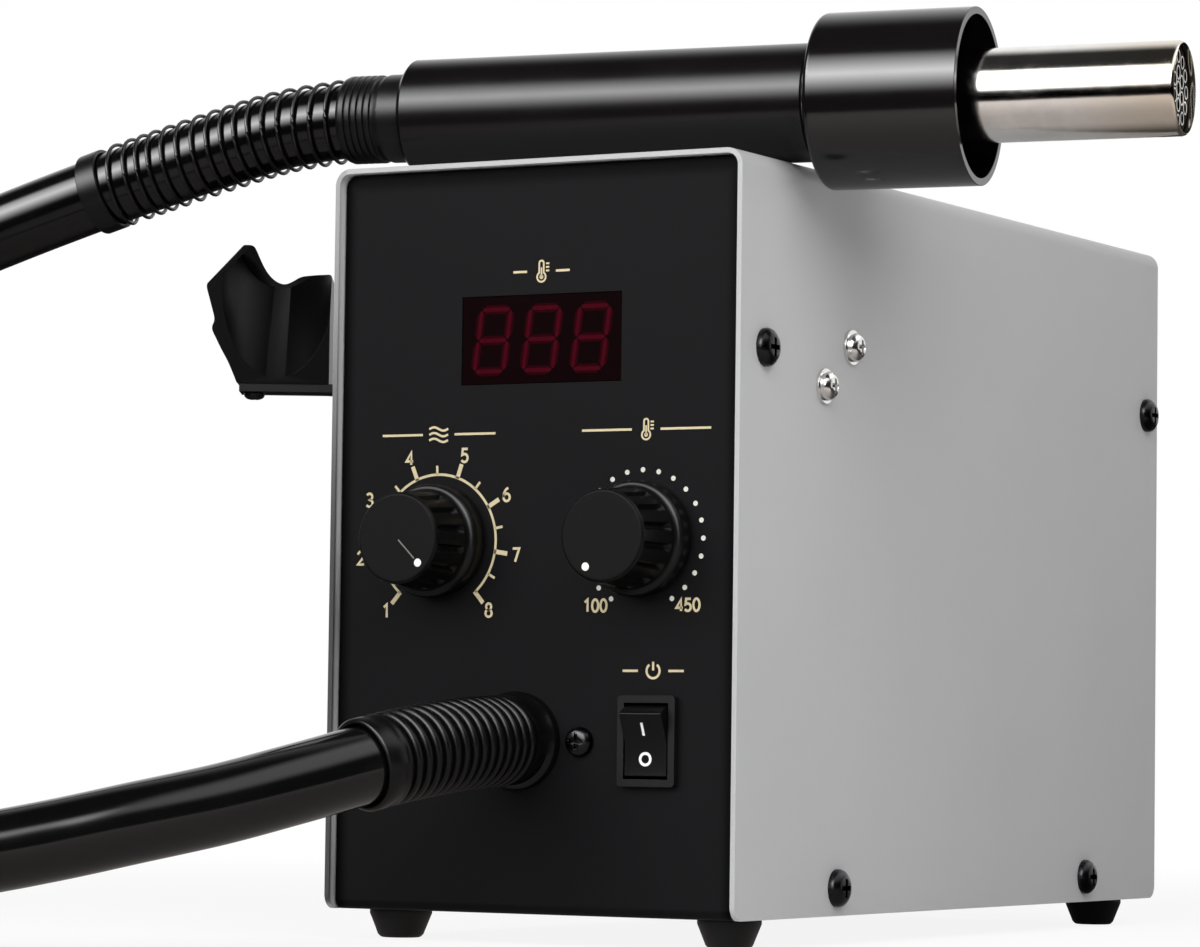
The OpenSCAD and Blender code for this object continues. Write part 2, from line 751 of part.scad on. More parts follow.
// Half of the cradle's space on one side of the horn's raked edge, which climbs to the rear
module horn_half(inset, side, depth) {
    along = [cos(horn_rake), sin(horn_rake)];
    inward = side * [along[1], -along[0]];
    start = cradle_point(horn_foot) + inset * inward;
    reach = 2 * cradle_h;
    on_cradle(0, 0, cradle_low_z) multmatrix([[1, 0, 0, 0], [0, 1, 0, 0], [0, horn_rise, 1, 0]])
        translate([0, depth, 0]) rotate([90, 0, 0]) linear_extrude(depth + 1)
            polygon([start - reach * along, start + reach * along,
                start + reach * (along + inward), start + reach * (inward - along)]);
}

// Moulded scoop whose trough rises to the rear and ends at a thin back wall
module holder_cradle() {
    trough_z = cradle_low_z + cradle_lip + cradle_r / cos(cradle_slope);
    last = len(cradle_shape) - 1;
    color([0.08, 0.08, 0.08]) difference() {
        on_cradle(0, cradle_depth, cradle_low_z) rotate([90, 0, 0]) linear_extrude(cradle_depth)
            polygon(softened([for (i = [0 : last]) cradle_point(i)], [for (p = cradle_shape) p[2]], 4));
        intersection() {
            on_cradle(cradle_trough_u, 0, trough_z) rotate([cradle_slope - 90, 0, 0])
                translate([0, 0, -4 * cradle_r]) cylinder(r = cradle_r, h = 8 * cradle_r);
            horn_half(cradle_rim, 1, cradle_depth - cradle_back_t);
        }
        horn_half(0, -1, cradle_depth + 1);
        on_cradle(-cradle_w, -1, cradle_low_z + horn_front_share * cradle_h)
            cube([2 * cradle_w, cradle_depth - cradle_back_t + 1, cradle_h]);
        on_cradle(cradle_screw_at[0], cradle_screw_at[1], cradle_low_z - 1)
            cylinder(d = cradle_screw_d + 2 * play, h = cradle_screw_grip + 2);
    }
}

module cradle_screw() {
    color("dimgray") on_cradle(cradle_screw_at[0], cradle_screw_at[1], cradle_floor_z)
        rotate([180, 0, 0]) cross_screw(cradle_screw_head_d, cradle_screw_head_h, cradle_screw_d,
            holder_t + cradle_screw_grip);
}

module holder_screws() {
    color("lightgray") for (p = holder_screw_at) on_side(-1, p[0], p[1]) translate([0, 0, holder_t])
        cross_screw(holder_screw_head_d, holder_screw_head_h, holder_screw_d, holder_t + sheet_t + nut_t + 2);
}

module holder_nuts() {
    color("gray") for (p = holder_screw_at) on_side(-1, p[0], p[1])
        translate([0, 0, -sheet_t - nut_t]) nut(nut_flats, nut_t, holder_screw_d);
}

// Front panel pieces

module display_window() {
    color([0.25, 0.02, 0.03]) union() {
        front_plate(panel_y + window_setback, sheet_t - window_setback + eps)
            translate([window_x, display_z]) square([window_w - 0.2, window_h - 0.2], center = true);
        front_plate(panel_in_y, window_t - sheet_t + window_setback)
            translate([window_x, display_z])
                square([window_w + 2 * window_lip, window_h + 2 * window_lip], center = true);
    }
}

// One segment of a digit, drawn along its length
module segment(len, w) {
    polygon([[-len / 2, 0], [-len / 2 + w / 2, w / 2], [len / 2 - w / 2, w / 2],
        [len / 2, 0], [len / 2 - w / 2, -w / 2], [-len / 2 + w / 2, -w / 2]]);
}

// A seven-segment figure, drawn upright about its centre
module digit(h) {
    w = h * 0.14;
    half = (h - w) / 2;
    span = h * 0.5;
    for (z = [-half, 0, half]) translate([0, z]) segment(span - 0.4, w);
    for (x = [-span / 2, span / 2], z = [-half / 2, half / 2])
        translate([x, z]) rotate(90) segment(half - 0.4, w);
}

// Leans the figures to the right
slant = [[1, 0.14, 0, 0], [0, 1, 0, 0], [0, 0, 1, 0], [0, 0, 0, 1]];

module display_module() {
    y0 = panel_in_y + window_t - sheet_t + window_setback + seat;
    color([0.12, 0.03, 0.03]) difference() {
        front_plate(y0, control_board_y - y0)
            translate([window_x, display_z]) square([module_w, module_h], center = true);
        front_plate(y0 - 1, 1.4) translate([window_x, display_z]) for (i = [-1 : 1])
            translate([i * module_w / 3, 0]) multmatrix(slant) digit(digit_h);
    }
}

control_hole_x = board_w / 2 - standoff_inset;
control_hole_z = [board_bottom_z + standoff_inset, board_top_z - standoff_inset];
power_hole_x = power_board_w / 2 - standoff_inset;
power_hole_z = [power_board_z + standoff_inset, power_board_z + power_board_h - standoff_inset];

module control_board() {
    color([0.1, 0.35, 0.2]) difference() {
        translate([-board_w / 2, control_board_y, board_bottom_z])
            cube([board_w, board_t, board_top_z - board_bottom_z]);
        for (s = [-1, 1], z = control_hole_z)
            rod_y(s * control_hole_x, control_board_y - 1, z, board_hole_d, board_t + 2);
    }
}

module board_standoffs() {
    color("gold") {
        for (s = [-1, 1], z = control_hole_z)
            rod_y(s * control_hole_x, panel_in_y, z, standoff_d, board_gap);
        for (s = [-1, 1], z = power_hole_z)
            rod_y(s * power_hole_x, power_board_y + board_t, z, standoff_d, power_board_gap);
    }
}

module board_screws() {
    head_d = 5;
    head_h = 1.8;
    color("silver") {
        for (s = [-1, 1], z = control_hole_z)
            translate([s * control_hole_x, control_board_y + board_t, z]) rotate([-90, 0, 0])
                pan_screw(head_d, head_h, board_hole_d, board_t);
        for (s = [-1, 1], z = power_hole_z)
            translate([s * power_hole_x, power_board_y, z]) rotate([90, 0, 0])
                pan_screw(head_d, head_h, board_hole_d, board_t);
    }
}

// A rotary control behind the panel, with its threaded bush through it
module rotary_control(x) {
    tail = control_board_y - panel_in_y;
    color("slategray") difference() {
        union() {
            rod_y(x, panel_in_y, dials_z, control_body_d, tail);
            rod_y(x, panel_y - bush_len, dials_z, bush_d, bush_len + sheet_t + eps);
        }
        rod_y(x, panel_y - bush_len - 1, dials_z, shaft_d + 2 * play, bush_len + sheet_t + tail - 1);
    }
}

module air_control() {
    rotary_control(air_dial_x);
}

module temp_control() {
    rotary_control(temp_dial_x);
}

module control_nuts() {
    color("silver") for (x = dial_at) translate([x, panel_y, dials_z]) rotate([90, 0, 0])
        nut(control_nut_flats, control_nut_t, bush_d);
}

// Shaft of a control, from inside its body to inside the knob
module control_shaft(x) {
    inner = control_board_y - 4;
    outer = knob_face_y + 4;
    color("gainsboro") rod_y(x, outer, dials_z, shaft_d, inner - outer);
}

module air_shaft() {
    control_shaft(air_dial_x);
}

module temp_shaft() {
    control_shaft(temp_dial_x);
}

// A fluted knob along +Z with its back at z = 0; the mark points along mark degrees
module knob(mark) {
    grip_z = knob_skirt_len;
    difference() {
        rotate_extrude() polygon([[0, 0], [knob_skirt_d / 2, 0], [knob_skirt_d / 2, 1.2],
            [knob_shoulder_d / 2, grip_z], [knob_grip_d / 2, grip_z + 0.6],
            [knob_face_d / 2 + 0.5, knob_len - 1], [knob_face_d / 2 - 0.3, knob_len], [0, knob_len]]);
        // grip flutes
        for (i = [0 : knob_flutes - 1]) rotate([0, 0, i * 360 / knob_flutes])
            translate([knob_grip_d / 2, 0, grip_z + 0.4]) rotate([0, -5.5, 0])
                cylinder(d = flute_d, h = knob_len, $fn = 24);
        // room for the nut and the bush
        translate([0, 0, -1]) cylinder(d = control_nut_flats / cos(30) + 2, h = 1 + bush_len);
        cylinder(d = shaft_d, h = knob_len - 4);
        // mark on the face: a fine line that ends in a dot
        rotate([0, 0, mark]) {
            translate([1.5, -0.3, knob_len - 0.4]) cube([dot_r - 1.5, 0.6, 1]);
            translate([dot_r, 0, knob_len - 0.4]) cylinder(d = dot_d, h = 1, $fn = 32);
        }
    }
}

module air_knob() {
    color([0.06, 0.06, 0.06]) translate([air_dial_x, knob_back_y, dials_z]) rotate([90, 0, 0]) knob(-45);
}

module temp_knob() {
    color([0.06, 0.06, 0.06]) translate([temp_dial_x, knob_back_y, dials_z]) rotate([90, 0, 0]) knob(240);
}

// Power switch

rocker_axis_y = panel_y + 0.6;

module switch_housing() {
    color([0.07, 0.07, 0.07]) difference() {
        union() {
            front_plate(panel_y - bezel_t, bezel_t)
                translate([switch_x, switch_at_z]) round_rect(switch_w, switch_h, 1);
            front_plate(panel_y - eps, switch_body_d)
                translate([switch_x, switch_at_z])
                    square([switch_body_w - 0.2, switch_body_h - 0.2], center = true);
        }
        front_plate(panel_y - bezel_t - 1, switch_body_d - 1)
            translate([switch_x, switch_at_z])
                square([rocker_w + 0.6, 2 * rocker_r + 0.8], center = true);
        rod_x(switch_x - rocker_pin_len / 2 - 0.15, rocker_axis_y, switch_at_z,
            rocker_pin_d + 2 * play, rocker_pin_len + 0.3);
    }
}

module switch_terminals() {
    color("gold") for (z = [-6, 0, 6])
        translate([switch_x - 2.4, panel_y + switch_body_d - eps, switch_at_z + z - 0.4])
            cube([4.8, 9, 0.8]);
}

// The rocker's side view: x outward from the pivot and y up. Each half of the face slopes
// by half the travel, so the half that is pressed in lies level with the bezel.
module rocker_outline() {
    middle = bezel_t + rocker_axis_y - panel_y;
    end = middle + rocker_r * tan(rocker_travel / 2);
    intersection() {
        circle(r = rocker_r);
        polygon([[-rocker_depth, -rocker_r], [end, -rocker_r], [middle, 0], [end, rocker_r],
            [-rocker_depth, rocker_r]]);
    }
}

module rocker() {
    color([0.05, 0.05, 0.05]) translate([switch_x, rocker_axis_y, switch_at_z])
        rotate([rocker_travel / 2, 0, 0]) union() {
            translate([rocker_w / 2, 0, 0]) rotate([90, 0, -90]) linear_extrude(rocker_w) rocker_outline();
            translate([-rocker_pin_len / 2, 0, 0]) rotate([0, 90, 0])
                cylinder(d = rocker_pin_d, h = rocker_pin_len);
        }
}

// Hose outlet

// Radius of the boot's skin at s along its centre line
rib_from = 8;
rib_to = boot_len - 7;
rib_pitch = (rib_to - rib_from) / boot_ribs;
rib_groove = 1.5;
function boot_skin() = concat(
    [[-sheet_t, hose_hole_d / 2 - seat], [0, hose_hole_d / 2 - seat], [0, boot_flange_d / 2],
        [2.2, boot_flange_d / 2], [rib_from - 1, boot_rib_d / 2 - 0.2]],
    [for (i = [0 : boot_ribs - 1], k = [0 : 3])
        [rib_from + (i + [0.06, 0.4, 0.56, 0.96][k]) * rib_pitch,
            boot_rib_d / 2 - [rib_groove, rib_groove, 0, 0][k]]],
    [[rib_to + 0.6, boot_rib_d / 2], [boot_len, boot_rib_d / 2 - 0.1]]);
boot_cup_r = hose_d / 2 + 0.7;
boot_sides = 20;

module hose_boot() {
    profile = concat(boot_skin(), [[boot_len, boot_cup_r], [boot_len - cup_depth, boot_cup_r]]);
    color([0.06, 0.06, 0.06])
        loft([for (p = profile) ring_at(boot_at(p[0]), boot_dir(max(p[0], 0)), p[1], boot_sides)]);
}

module boot_screws() {
    color([0.08, 0.08, 0.08]) for (s = [-1, 1])
        translate([hose_x + s * boot_screw_pitch / 2, panel_y, hose_at_z]) rotate([90, 0, 0])
            cross_screw(boot_screw_head_d, 2.4, boot_screw_d, sheet_t + fitting_t + 2);
}

// Oval plate behind the panel with a barb for the pump's tube
module hose_fitting() {
    color("dimgray") difference() {
        union() {
            front_plate(panel_in_y, fitting_t) translate([hose_x, hose_at_z])
                round_rect(boot_screw_pitch + 9, boot_flange_d, 4.4);
            rod_y(hose_x, panel_in_y, hose_at_z, barb_d, 14);
        }
        rod_y(hose_x, panel_in_y - 1, hose_at_z, barb_d - 3, 16);
        for (s = [-1, 1])
            rod_y(hose_x + s * boot_screw_pitch / 2, panel_in_y - 1, hose_at_z, boot_screw_d, fitting_t + 2);
    }
}

// Air pump

module pump_tube() {
    start = panel_in_y + fitting_t + 2;
    color("lightgray") difference() {
        rod_y(pump_x, start, pump_z, tube_d, chamber_front_y - 1 - start);
        rod_y(pump_x, start - 1, pump_z, tube_bore_d, chamber_front_y - start + 2);
    }
}

module pump_core() {
    color("gray") translate([pump_x - core_w / 2, core_y + core_inset, pump_plate_z + pump_plate_t])
        difference() {
            cube([core_w, core_len - 2 * core_inset, core_h]);
            translate([core_limb, -1, core_limb])
                cube([core_w - 2 * core_limb, core_len - 2 * core_inset + 2, core_h - 2 * core_limb]);
        }
}

module pump_coil() {
    window_gap = 2 * (core_limb + coil_play);
    color("orangered")
        translate([pump_x, core_y + coil_inset, pump_plate_z + pump_plate_t + core_h / 2])
            rotate([-90, 0, 0]) linear_extrude(core_len - 2 * coil_inset)
                round_rect(core_w - window_gap, core_h - window_gap, coil_corner_r);
}

// A diaphragm chamber along +Y with ribbed rubber and a flat foot
module pump_chamber(y) {
    r = chamber_d / 2;
    translate([pump_x, y, pump_z]) rotate([-90, 0, 0]) rotate_extrude() polygon([
        [0, 0], [r - 4, 0], [r, 4], [r, 6], [r - 3, 8], [r, 10], [r, 12], [r - 3, 14], [r, 16],
        [r, chamber_len - 2], [r - 2, chamber_len], [0, chamber_len]]);
    foot_z = pump_plate_z + pump_plate_t;
    translate([pump_x - pump_foot_w / 2, y + 5, foot_z])
        cube([pump_foot_w, chamber_len - 10, pump_z - foot_z]);
}

module pump_chambers() {
    color([0.15, 0.15, 0.17]) {
        pump_chamber(chamber_front_y);
        pump_chamber(core_y + core_len);
        rod_y(pump_x, chamber_front_y - nozzle_len, pump_z, barb_d, nozzle_len + eps);
    }
}

module pump_base() {
    color("silver") difference() {
        translate([pump_x - pump_plate_w / 2, chamber_front_y, pump_plate_z])
            cube([pump_plate_w, pump_len, pump_plate_t]);
        for (p = pump_mount_at)
            translate([p[0], p[1], pump_plate_z - 1]) cylinder(d = 6, h = pump_plate_t + 2);
    }
}

pump_mount_at = [for (s = [-1, 1], e = [0, 1])
    [pump_x + s * pump_mount_x, chamber_front_y + pump_mount_inset + e * (pump_len - 2 * pump_mount_inset)]];

module pump_mounts() {
    color([0.05, 0.05, 0.05]) for (p = pump_mount_at) translate([p[0], p[1], floor_z])
        rotate_extrude() polygon([[0, 0], [7, 0], [7, 2], [5.6, pump_mount_h / 2], [7, pump_mount_h - 2],
            [7, pump_mount_h], [3 - play, pump_mount_h], [3 - play, pump_mount_h + pump_plate_t],
            [4.6, pump_mount_h + pump_plate_t], [3.4, pump_mount_h + pump_plate_t + 2.4],
            [0, pump_mount_h + pump_plate_t + 2.4]]);
}

// Power electronics on the rear panel

module power_board() {
    color([0.1, 0.35, 0.2]) difference() {
        translate([-power_board_w / 2, power_board_y, power_board_z])
            cube([power_board_w, board_t, power_board_h]);
        for (s = [-1, 1], z = power_hole_z)
            rod_y(s * power_hole_x, power_board_y - 1, z, board_hole_d, board_t + 2);
    }
}

module transformer() {
    size = transformer_size;
    color("goldenrod") translate([transformer_x, power_board_y - size[1], power_board_z + transformer_rise])
        union() {
            cube(size);
            translate([bobbin_inset, -bobbin_t, bobbin_inset])
                cube([size[0] - 2 * bobbin_inset, bobbin_t + eps, size[2] - 2 * bobbin_inset]);
        }
}

// Finned plate that cools the heater's switching part
module heat_sink() {
    size = heat_sink_size;
    base_t = heat_sink_base_t;
    fin_t = heat_sink_fin_t;
    fin_pitch = (size[0] - fin_t) / (heat_sink_fins - 1);
    color("silver") translate([heat_sink_x, power_board_y, power_board_z + heat_sink_rise]) union() {
        translate([0, -base_t, 0]) cube([size[0], base_t, size[2]]);
        for (i = [0 : heat_sink_fins - 1])
            translate([i * fin_pitch, -size[1], 0]) cube([fin_t, size[1] - base_t + eps, size[2]]);
    }
}

// Mains inlet socket in the rear panel, with a chamfered opening
module inlet_outline(w, h) {
    c = 5;
    polygon([[-w / 2, -h / 2], [w / 2, -h / 2], [w / 2, h / 2 - c], [w / 2 - c, h / 2],
        [-w / 2 + c, h / 2], [-w / 2, h / 2 - c]]);
}

module mains_inlet() {
    color([0.07, 0.07, 0.07]) difference() {
        union() {
            front_plate(back_y, inlet_flange_t) translate([inlet_x, inlet_z])
                round_rect(inlet_flange_w, inlet_flange_h, 5);
            front_plate(back_y - inlet_body_d, inlet_body_d + eps) translate([inlet_x, inlet_z])
                square([inlet_w - 0.2, inlet_h - 0.2], center = true);
        }
        front_plate(back_y + inlet_flange_t - 17, 18) translate([inlet_x, inlet_z])
            inlet_outline(inlet_w - 3, inlet_h - 3.4);
        for (s = [-1, 1])
            rod_y(inlet_x + s * inlet_screw_pitch / 2, back_y - 1, inlet_z, boot_screw_d, inlet_flange_t + 2);
        inlet_blades(play);
    }
}

// Three flat blades through the inlet's floor, each grown by a clearance
module inlet_blades(grow) {
    for (p = [[-7, -1], [0, 3], [7, -1]])
        translate([inlet_x + p[0] - 1 - grow, back_y + inlet_flange_t - 27, inlet_z + p[1] - 2 - grow])
            cube([2 + 2 * grow, 23, 4 + 2 * grow]);
}

module inlet_pins() {
    color("silver") inlet_blades(0);
}

module inlet_screws() {
    color("silver") for (s = [-1, 1])
        translate([inlet_x + s * inlet_screw_pitch / 2, back_y + inlet_flange_t, inlet_z]) rotate([-90, 0, 0])
            cross_screw(5.6, 2, boot_screw_d, inlet_flange_t + sheet_t + 2);
}

module fuse_holder() {
    color([0.07, 0.07, 0.07]) union() {
        rod_y(fuse_x, back_y, inlet_z, 17, 2);
        rod_y(fuse_x, back_y + 2 - eps, inlet_z, 12, 6);
        rod_y(fuse_x, back_y - 26, inlet_z, fuse_hole_d - 0.2, 26 + eps);
        translate([fuse_x, back_in_y, inlet_z]) rotate([90, 0, 0]) nut(17, 3, fuse_hole_d - 0.4);
    }
}

// Handset. Drawn along +Z from the handle's rear end, then laid on the case.

module on_case() {
    translate(on_handset(0)) rotate([0, 0, handset_yaw]) rotate([0, 90, 0]) children();
}

collar_in_r = collar_d / 2 - collar_wall;
collar_mouth = handle_len + collar_len;
tip_t = collar_mouth + pipe_reach;
pipe_in_r = pipe_d / 2 - pipe_wall;
pipe_neck_r = pipe_d / 2 - pipe_neck;
pipe_seat = handle_len + collar_floor;
core_r = pipe_in_r - mica_t;

module at_pipe_screws() {
    for (i = [0 : 2]) rotate([0, 0, 60 + i * 120])
        translate([(pipe_flange_d + pipe_d) / 4, 0, 0]) children();
}

module handle() {
    r = handle_d / 2;
    color([0.08, 0.07, 0.08]) on_case() difference() {
        rotate_extrude() polygon([[0, 0], [r - 1.2, 0], [r, 1.2], [r, handle_len - 2.6],
            [r - 0.4, handle_len - 2.4], [r - 0.4, handle_len - 2], [r, handle_len - 1.8],
            [r, handle_len], [0, handle_len]]);
        translate([0, 0, handle_wall]) cylinder(r = r - handle_wall, h = handle_len);
        translate([0, 0, -1]) cylinder(d = grommet_d - 2 * grommet_step, h = handle_wall + 2);
    }
}

// Cup round the pipe's root: open toward the nozzle, with a round back edge
module guard_collar() {
    r = collar_d / 2;
    e = collar_edge_r;
    color([0.09, 0.07, 0.08]) on_case() difference() {
        union() {
            translate([0, 0, handle_len + e]) cylinder(r = r, h = collar_len - e);
            translate([0, 0, handle_len]) cylinder(r = r - e, h = collar_len);
            translate([0, 0, handle_len + e]) rotate_extrude() translate([r - e, 0]) circle(e);
        }
        translate([0, 0, pipe_seat]) cylinder(r = collar_in_r, h = collar_len);
        translate([0, 0, handle_len - 1]) cylinder(r = pipe_neck_r + play, h = collar_floor + 2);
        at_pipe_screws() translate([0, 0, handle_len - 1]) cylinder(d = pipe_screw_d, h = collar_floor + 2);
    }
}

module heater_pipe() {
    r = pipe_d / 2;
    color("gainsboro") on_case() difference() {
        union() {
            translate([0, 0, pipe_seat - pipe_inside]) cylinder(r = pipe_neck_r, h = pipe_inside + 2);
            translate([0, 0, pipe_seat + pipe_flange_t])
                cylinder(r = r, h = tip_t - 1 - pipe_seat - pipe_flange_t);
            // rolled lip at the outlet
            translate([0, 0, tip_t - 1]) rotate_extrude() polygon([[0, 0], [r, 0], [r - 0.25, 0.7],
                [r - 0.6, 1], [0, 1]]);
        }
        translate([0, 0, pipe_seat - pipe_inside - 1]) cylinder(r = pipe_in_r, h = tip_t);
    }
}

// Ring welded round the pipe, which the screws hold on the collar's floor
module pipe_flange() {
    color("silver") on_case() difference() {
        translate([0, 0, pipe_seat]) cylinder(d = pipe_flange_d, h = pipe_flange_t);
        translate([0, 0, pipe_seat - 1]) cylinder(r = pipe_neck_r + play, h = pipe_flange_t + 2);
        at_pipe_screws() translate([0, 0, pipe_seat - 1])
            cylinder(d = pipe_screw_d + 2 * play, h = pipe_flange_t + 2);
    }
}

module pipe_screws() {
    color("silver") on_case() at_pipe_screws() translate([0, 0, pipe_seat + pipe_flange_t])
        cross_screw(pipe_screw_head_d, pipe_screw_head_h, pipe_screw_d, collar_floor + pipe_flange_t);
}

module mica_sleeve() {
    color("wheat") on_case() translate([0, 0, tip_t - core_recess - heater_core_len]) difference() {
        cylinder(r = pipe_in_r, h = heater_core_len - 2);
        translate([0, 0, -1]) cylinder(r = core_r, h = heater_core_len + 2);
    }
}

// Ceramic honeycomb that carries the heating wire: one channel, then rings of channels
module heater_core() {
    color("beige") on_case() translate([0, 0, tip_t - core_recess - heater_core_len]) difference() {
        cylinder(r = core_r, h = heater_core_len);
        translate([0, 0, -1]) cylinder(d = core_hole_d, h = heater_core_len + 2, $fn = 24);
        for (ring = [1, 2], i = [0 : 6 * ring - 1])
            rotate([0, 0, i * 60 / ring]) translate([ring * core_r * 0.37, 0, -1])
                cylinder(d = core_hole_d - ring * 0.4, h = heater_core_len + 2, $fn = 24);
    }
}

module terminal_block() {
    r = handle_d / 2 - handle_wall;
    color("ivory") on_case() translate([0, 0, handle_len * 0.45]) difference() {
        cylinder(r = r, h = 12);
        for (a = [0 : 72 : 288]) rotate([0, 0, a]) translate([r * 0.6, 0, -1])
            cylinder(d = 3, h = 14, $fn = 24);
    }
}

// Rubber grommet in the handle's rear end: a ribbed sleeve with a neck and a lip inside
module rear_grommet() {
    r = grommet_d / 2;
    ribs = 5;
    pitch = 1.7;
    ribbed = [for (i = [0 : ribs - 1]) each [
        [r, -grommet_len + 1 + i * pitch], [r, -grommet_len + 2 + i * pitch],
        [r - 0.6, -grommet_len + 2.2 + i * pitch], [r - 0.6, -grommet_len + 2.6 + i * pitch]]];
    neck_r = r - grommet_step - play;
    color([0.06, 0.06, 0.06]) on_case() rotate_extrude() polygon(concat(
        [[0, -grommet_len], [r - 0.4, -grommet_len]], ribbed,
        [[r, -grommet_len + 2.8 + ribs * pitch], [r, -seat], [neck_r, -seat], [neck_r, handle_wall],
            [neck_r + 2, handle_wall], [neck_r + 1, handle_wall + 3], [0, handle_wall + 3]]));
}

spring_from = 0.05;
spring_to = 4;
spring_r = (spring_d - spring_wire_d) / 2;

module strain_spring() {
    count = spring_turns * spring_steps;
    function coil_point(k) =
        let (v = spring_from + (spring_to - spring_from) * k / count)
        let (d = hose_curve_dir(v), a = 360 * k / spring_steps)
        hose_curve(v) + spring_r * (cos(a) * across(d) + sin(a) * upward(d));
    points = [for (k = [0 : count]) coil_point(k)];
    color("dimgray") loft([for (k = [0 : count])
        let (d = unit(points[min(k + 1, count)] - points[max(k - 1, 0)]))
        ring_at(points[k], d, spring_wire_d / 2, spring_sides)]);
}

module spring_ring() {
    p = hose_curve(spring_to + 0.02);
    d = hose_curve_dir(spring_to + 0.09);
    turn = atan2(d[1], d[0]);
    color([0.06, 0.06, 0.06]) translate(p) rotate([0, 0, turn]) rotate([0, acos(d[2]), 0]) difference() {
        cylinder(d = spring_d - 0.2, h = ring_len);
        translate([0, 0, -1]) cylinder(d = hose_d + 0.5, h = ring_len + 2);
    }
}

module air_hose() {
    color([0.07, 0.07, 0.07]) loft([for (i = [0 : hose_last])
        ring_at(hose_points[i], hose_heading(i), hose_d / 2, hose_sides)]);
}

cover();
chassis();
feet();
foot_screws();
cover_screws();
spare_screws();
spare_nuts();
holder_bracket();
holder_cradle();
cradle_screw();
holder_screws();
holder_nuts();
display_window();
display_module();
control_board();
board_standoffs();
board_screws();
air_control();
temp_control();
control_nuts();
air_shaft();
air_knob();
temp_shaft();
temp_knob();
switch_housing();
switch_terminals();
rocker();
hose_boot();
boot_screws();
hose_fitting();
pump_tube();
pump_core();
pump_coil();
pump_chambers();
pump_base();
pump_mounts();
power_board();
transformer();
heat_sink();
mains_inlet();
inlet_pins();
inlet_screws();
fuse_holder();
handle();
guard_collar();
heater_pipe();
pipe_flange();
pipe_screws();
mica_sleeve();
heater_core();
terminal_block();
rear_grommet();
strain_spring();
spring_ring();
air_hose();
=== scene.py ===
"""Dresses the hot air rework station: finishes for its solids, and the fine pieces that
they carry, such as the dial print, the knobs, the ribbed boot, the hose and the spring."""

from math import asin, cos, degrees, pi, radians, sin

import bmesh
import bpy
from bpy.props import FloatProperty, FloatVectorProperty, IntProperty, PointerProperty
from mathutils import Matrix, Vector


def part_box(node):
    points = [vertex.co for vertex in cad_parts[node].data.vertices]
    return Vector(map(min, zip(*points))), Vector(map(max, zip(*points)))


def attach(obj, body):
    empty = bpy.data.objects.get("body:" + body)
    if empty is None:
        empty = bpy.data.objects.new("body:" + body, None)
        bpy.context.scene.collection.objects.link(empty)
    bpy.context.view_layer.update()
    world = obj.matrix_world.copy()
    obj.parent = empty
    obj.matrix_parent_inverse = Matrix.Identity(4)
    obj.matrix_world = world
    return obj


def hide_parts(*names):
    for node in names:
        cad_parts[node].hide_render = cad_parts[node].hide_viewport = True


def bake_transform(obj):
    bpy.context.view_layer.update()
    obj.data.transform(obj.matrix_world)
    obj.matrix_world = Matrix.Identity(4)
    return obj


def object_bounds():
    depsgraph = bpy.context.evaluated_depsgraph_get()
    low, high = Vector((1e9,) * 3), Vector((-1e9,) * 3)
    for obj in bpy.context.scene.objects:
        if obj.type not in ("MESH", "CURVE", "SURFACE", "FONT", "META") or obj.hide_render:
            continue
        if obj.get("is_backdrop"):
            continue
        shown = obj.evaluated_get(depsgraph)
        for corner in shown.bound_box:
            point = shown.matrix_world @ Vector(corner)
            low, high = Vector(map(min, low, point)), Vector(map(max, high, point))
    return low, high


bl_info = {
    "name": "Hot air rework station",
    "version": (1, 0, 0),
    "blender": (4, 5, 0),
    "location": "3D View > Sidebar > Station",
    "description": "Builds the pieces and finishes of a hot air rework station",
    "category": "Object",
}

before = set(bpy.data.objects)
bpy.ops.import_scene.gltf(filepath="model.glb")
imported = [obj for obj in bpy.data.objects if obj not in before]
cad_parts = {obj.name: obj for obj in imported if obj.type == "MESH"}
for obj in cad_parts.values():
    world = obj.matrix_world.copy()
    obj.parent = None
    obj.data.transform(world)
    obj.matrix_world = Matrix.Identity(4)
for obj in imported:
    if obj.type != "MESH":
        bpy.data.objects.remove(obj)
CAD_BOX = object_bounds()

MM = 0.001


# Places taken from the solids

def low(node):
    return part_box(node)[0]


def high(node):
    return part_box(node)[1]


def middle(node):
    return (low(node) + high(node)) / 2


# Lengths in millimetres
PANEL_Y = low("chassis").y / MM
HANDLE_YAW = radians(8.3)
HANDSET_DIR = Vector((cos(HANDLE_YAW), sin(HANDLE_YAW), 0))

# The hose's route in millimetres, as in the part's source: steps from the grommet's end,
# places on and above the desk, and steps from the boot's mouth
GROMMET_ROUTE = [
    (-17, -2.5, -2), (-32, -4.5, -5.5), (-48, -7, -10), (-63, -9.5, -14.5), (-94, -14, -24.5),
    (-128, -18, -36.5),
]
DESK_ROUTE = [
    (-219, -135, 144), (-246, -141, 122), (-269, -147.5, 96), (-289, -156, 68), (-309, -168, 41.5),
    (-328, -186, 23), (-343, -212, 12.5), (-349, -244, 9.5), (-342, -276, 9), (-320, -302, 9),
    (-288, -316, 9), (-253, -318, 9), (-220, -313, 9), (-190, -304.5, 9.5), (-160, -293, 11),
    (-131, -279, 13.5), (-108, -266, 16),
]
BOOT_ROUTE = [
    (-74, -75, -23), (-59, -65, -20.5), (-44.5, -54.5, -17), (-30.5, -44, -13), (-18, -31, -9),
    (-8, -16.5, -4.5), (0, 0, 0),
]
COLLAR_AT = Vector((60.8, -92.8, 198.0))
HANDLE_LEN = 105.0
GROMMET_LEN = 17.0
CORE_FACE = 188.9
CORE_RING = 3.72
BOOT_START = Vector((-4, -122.5, 47.4))
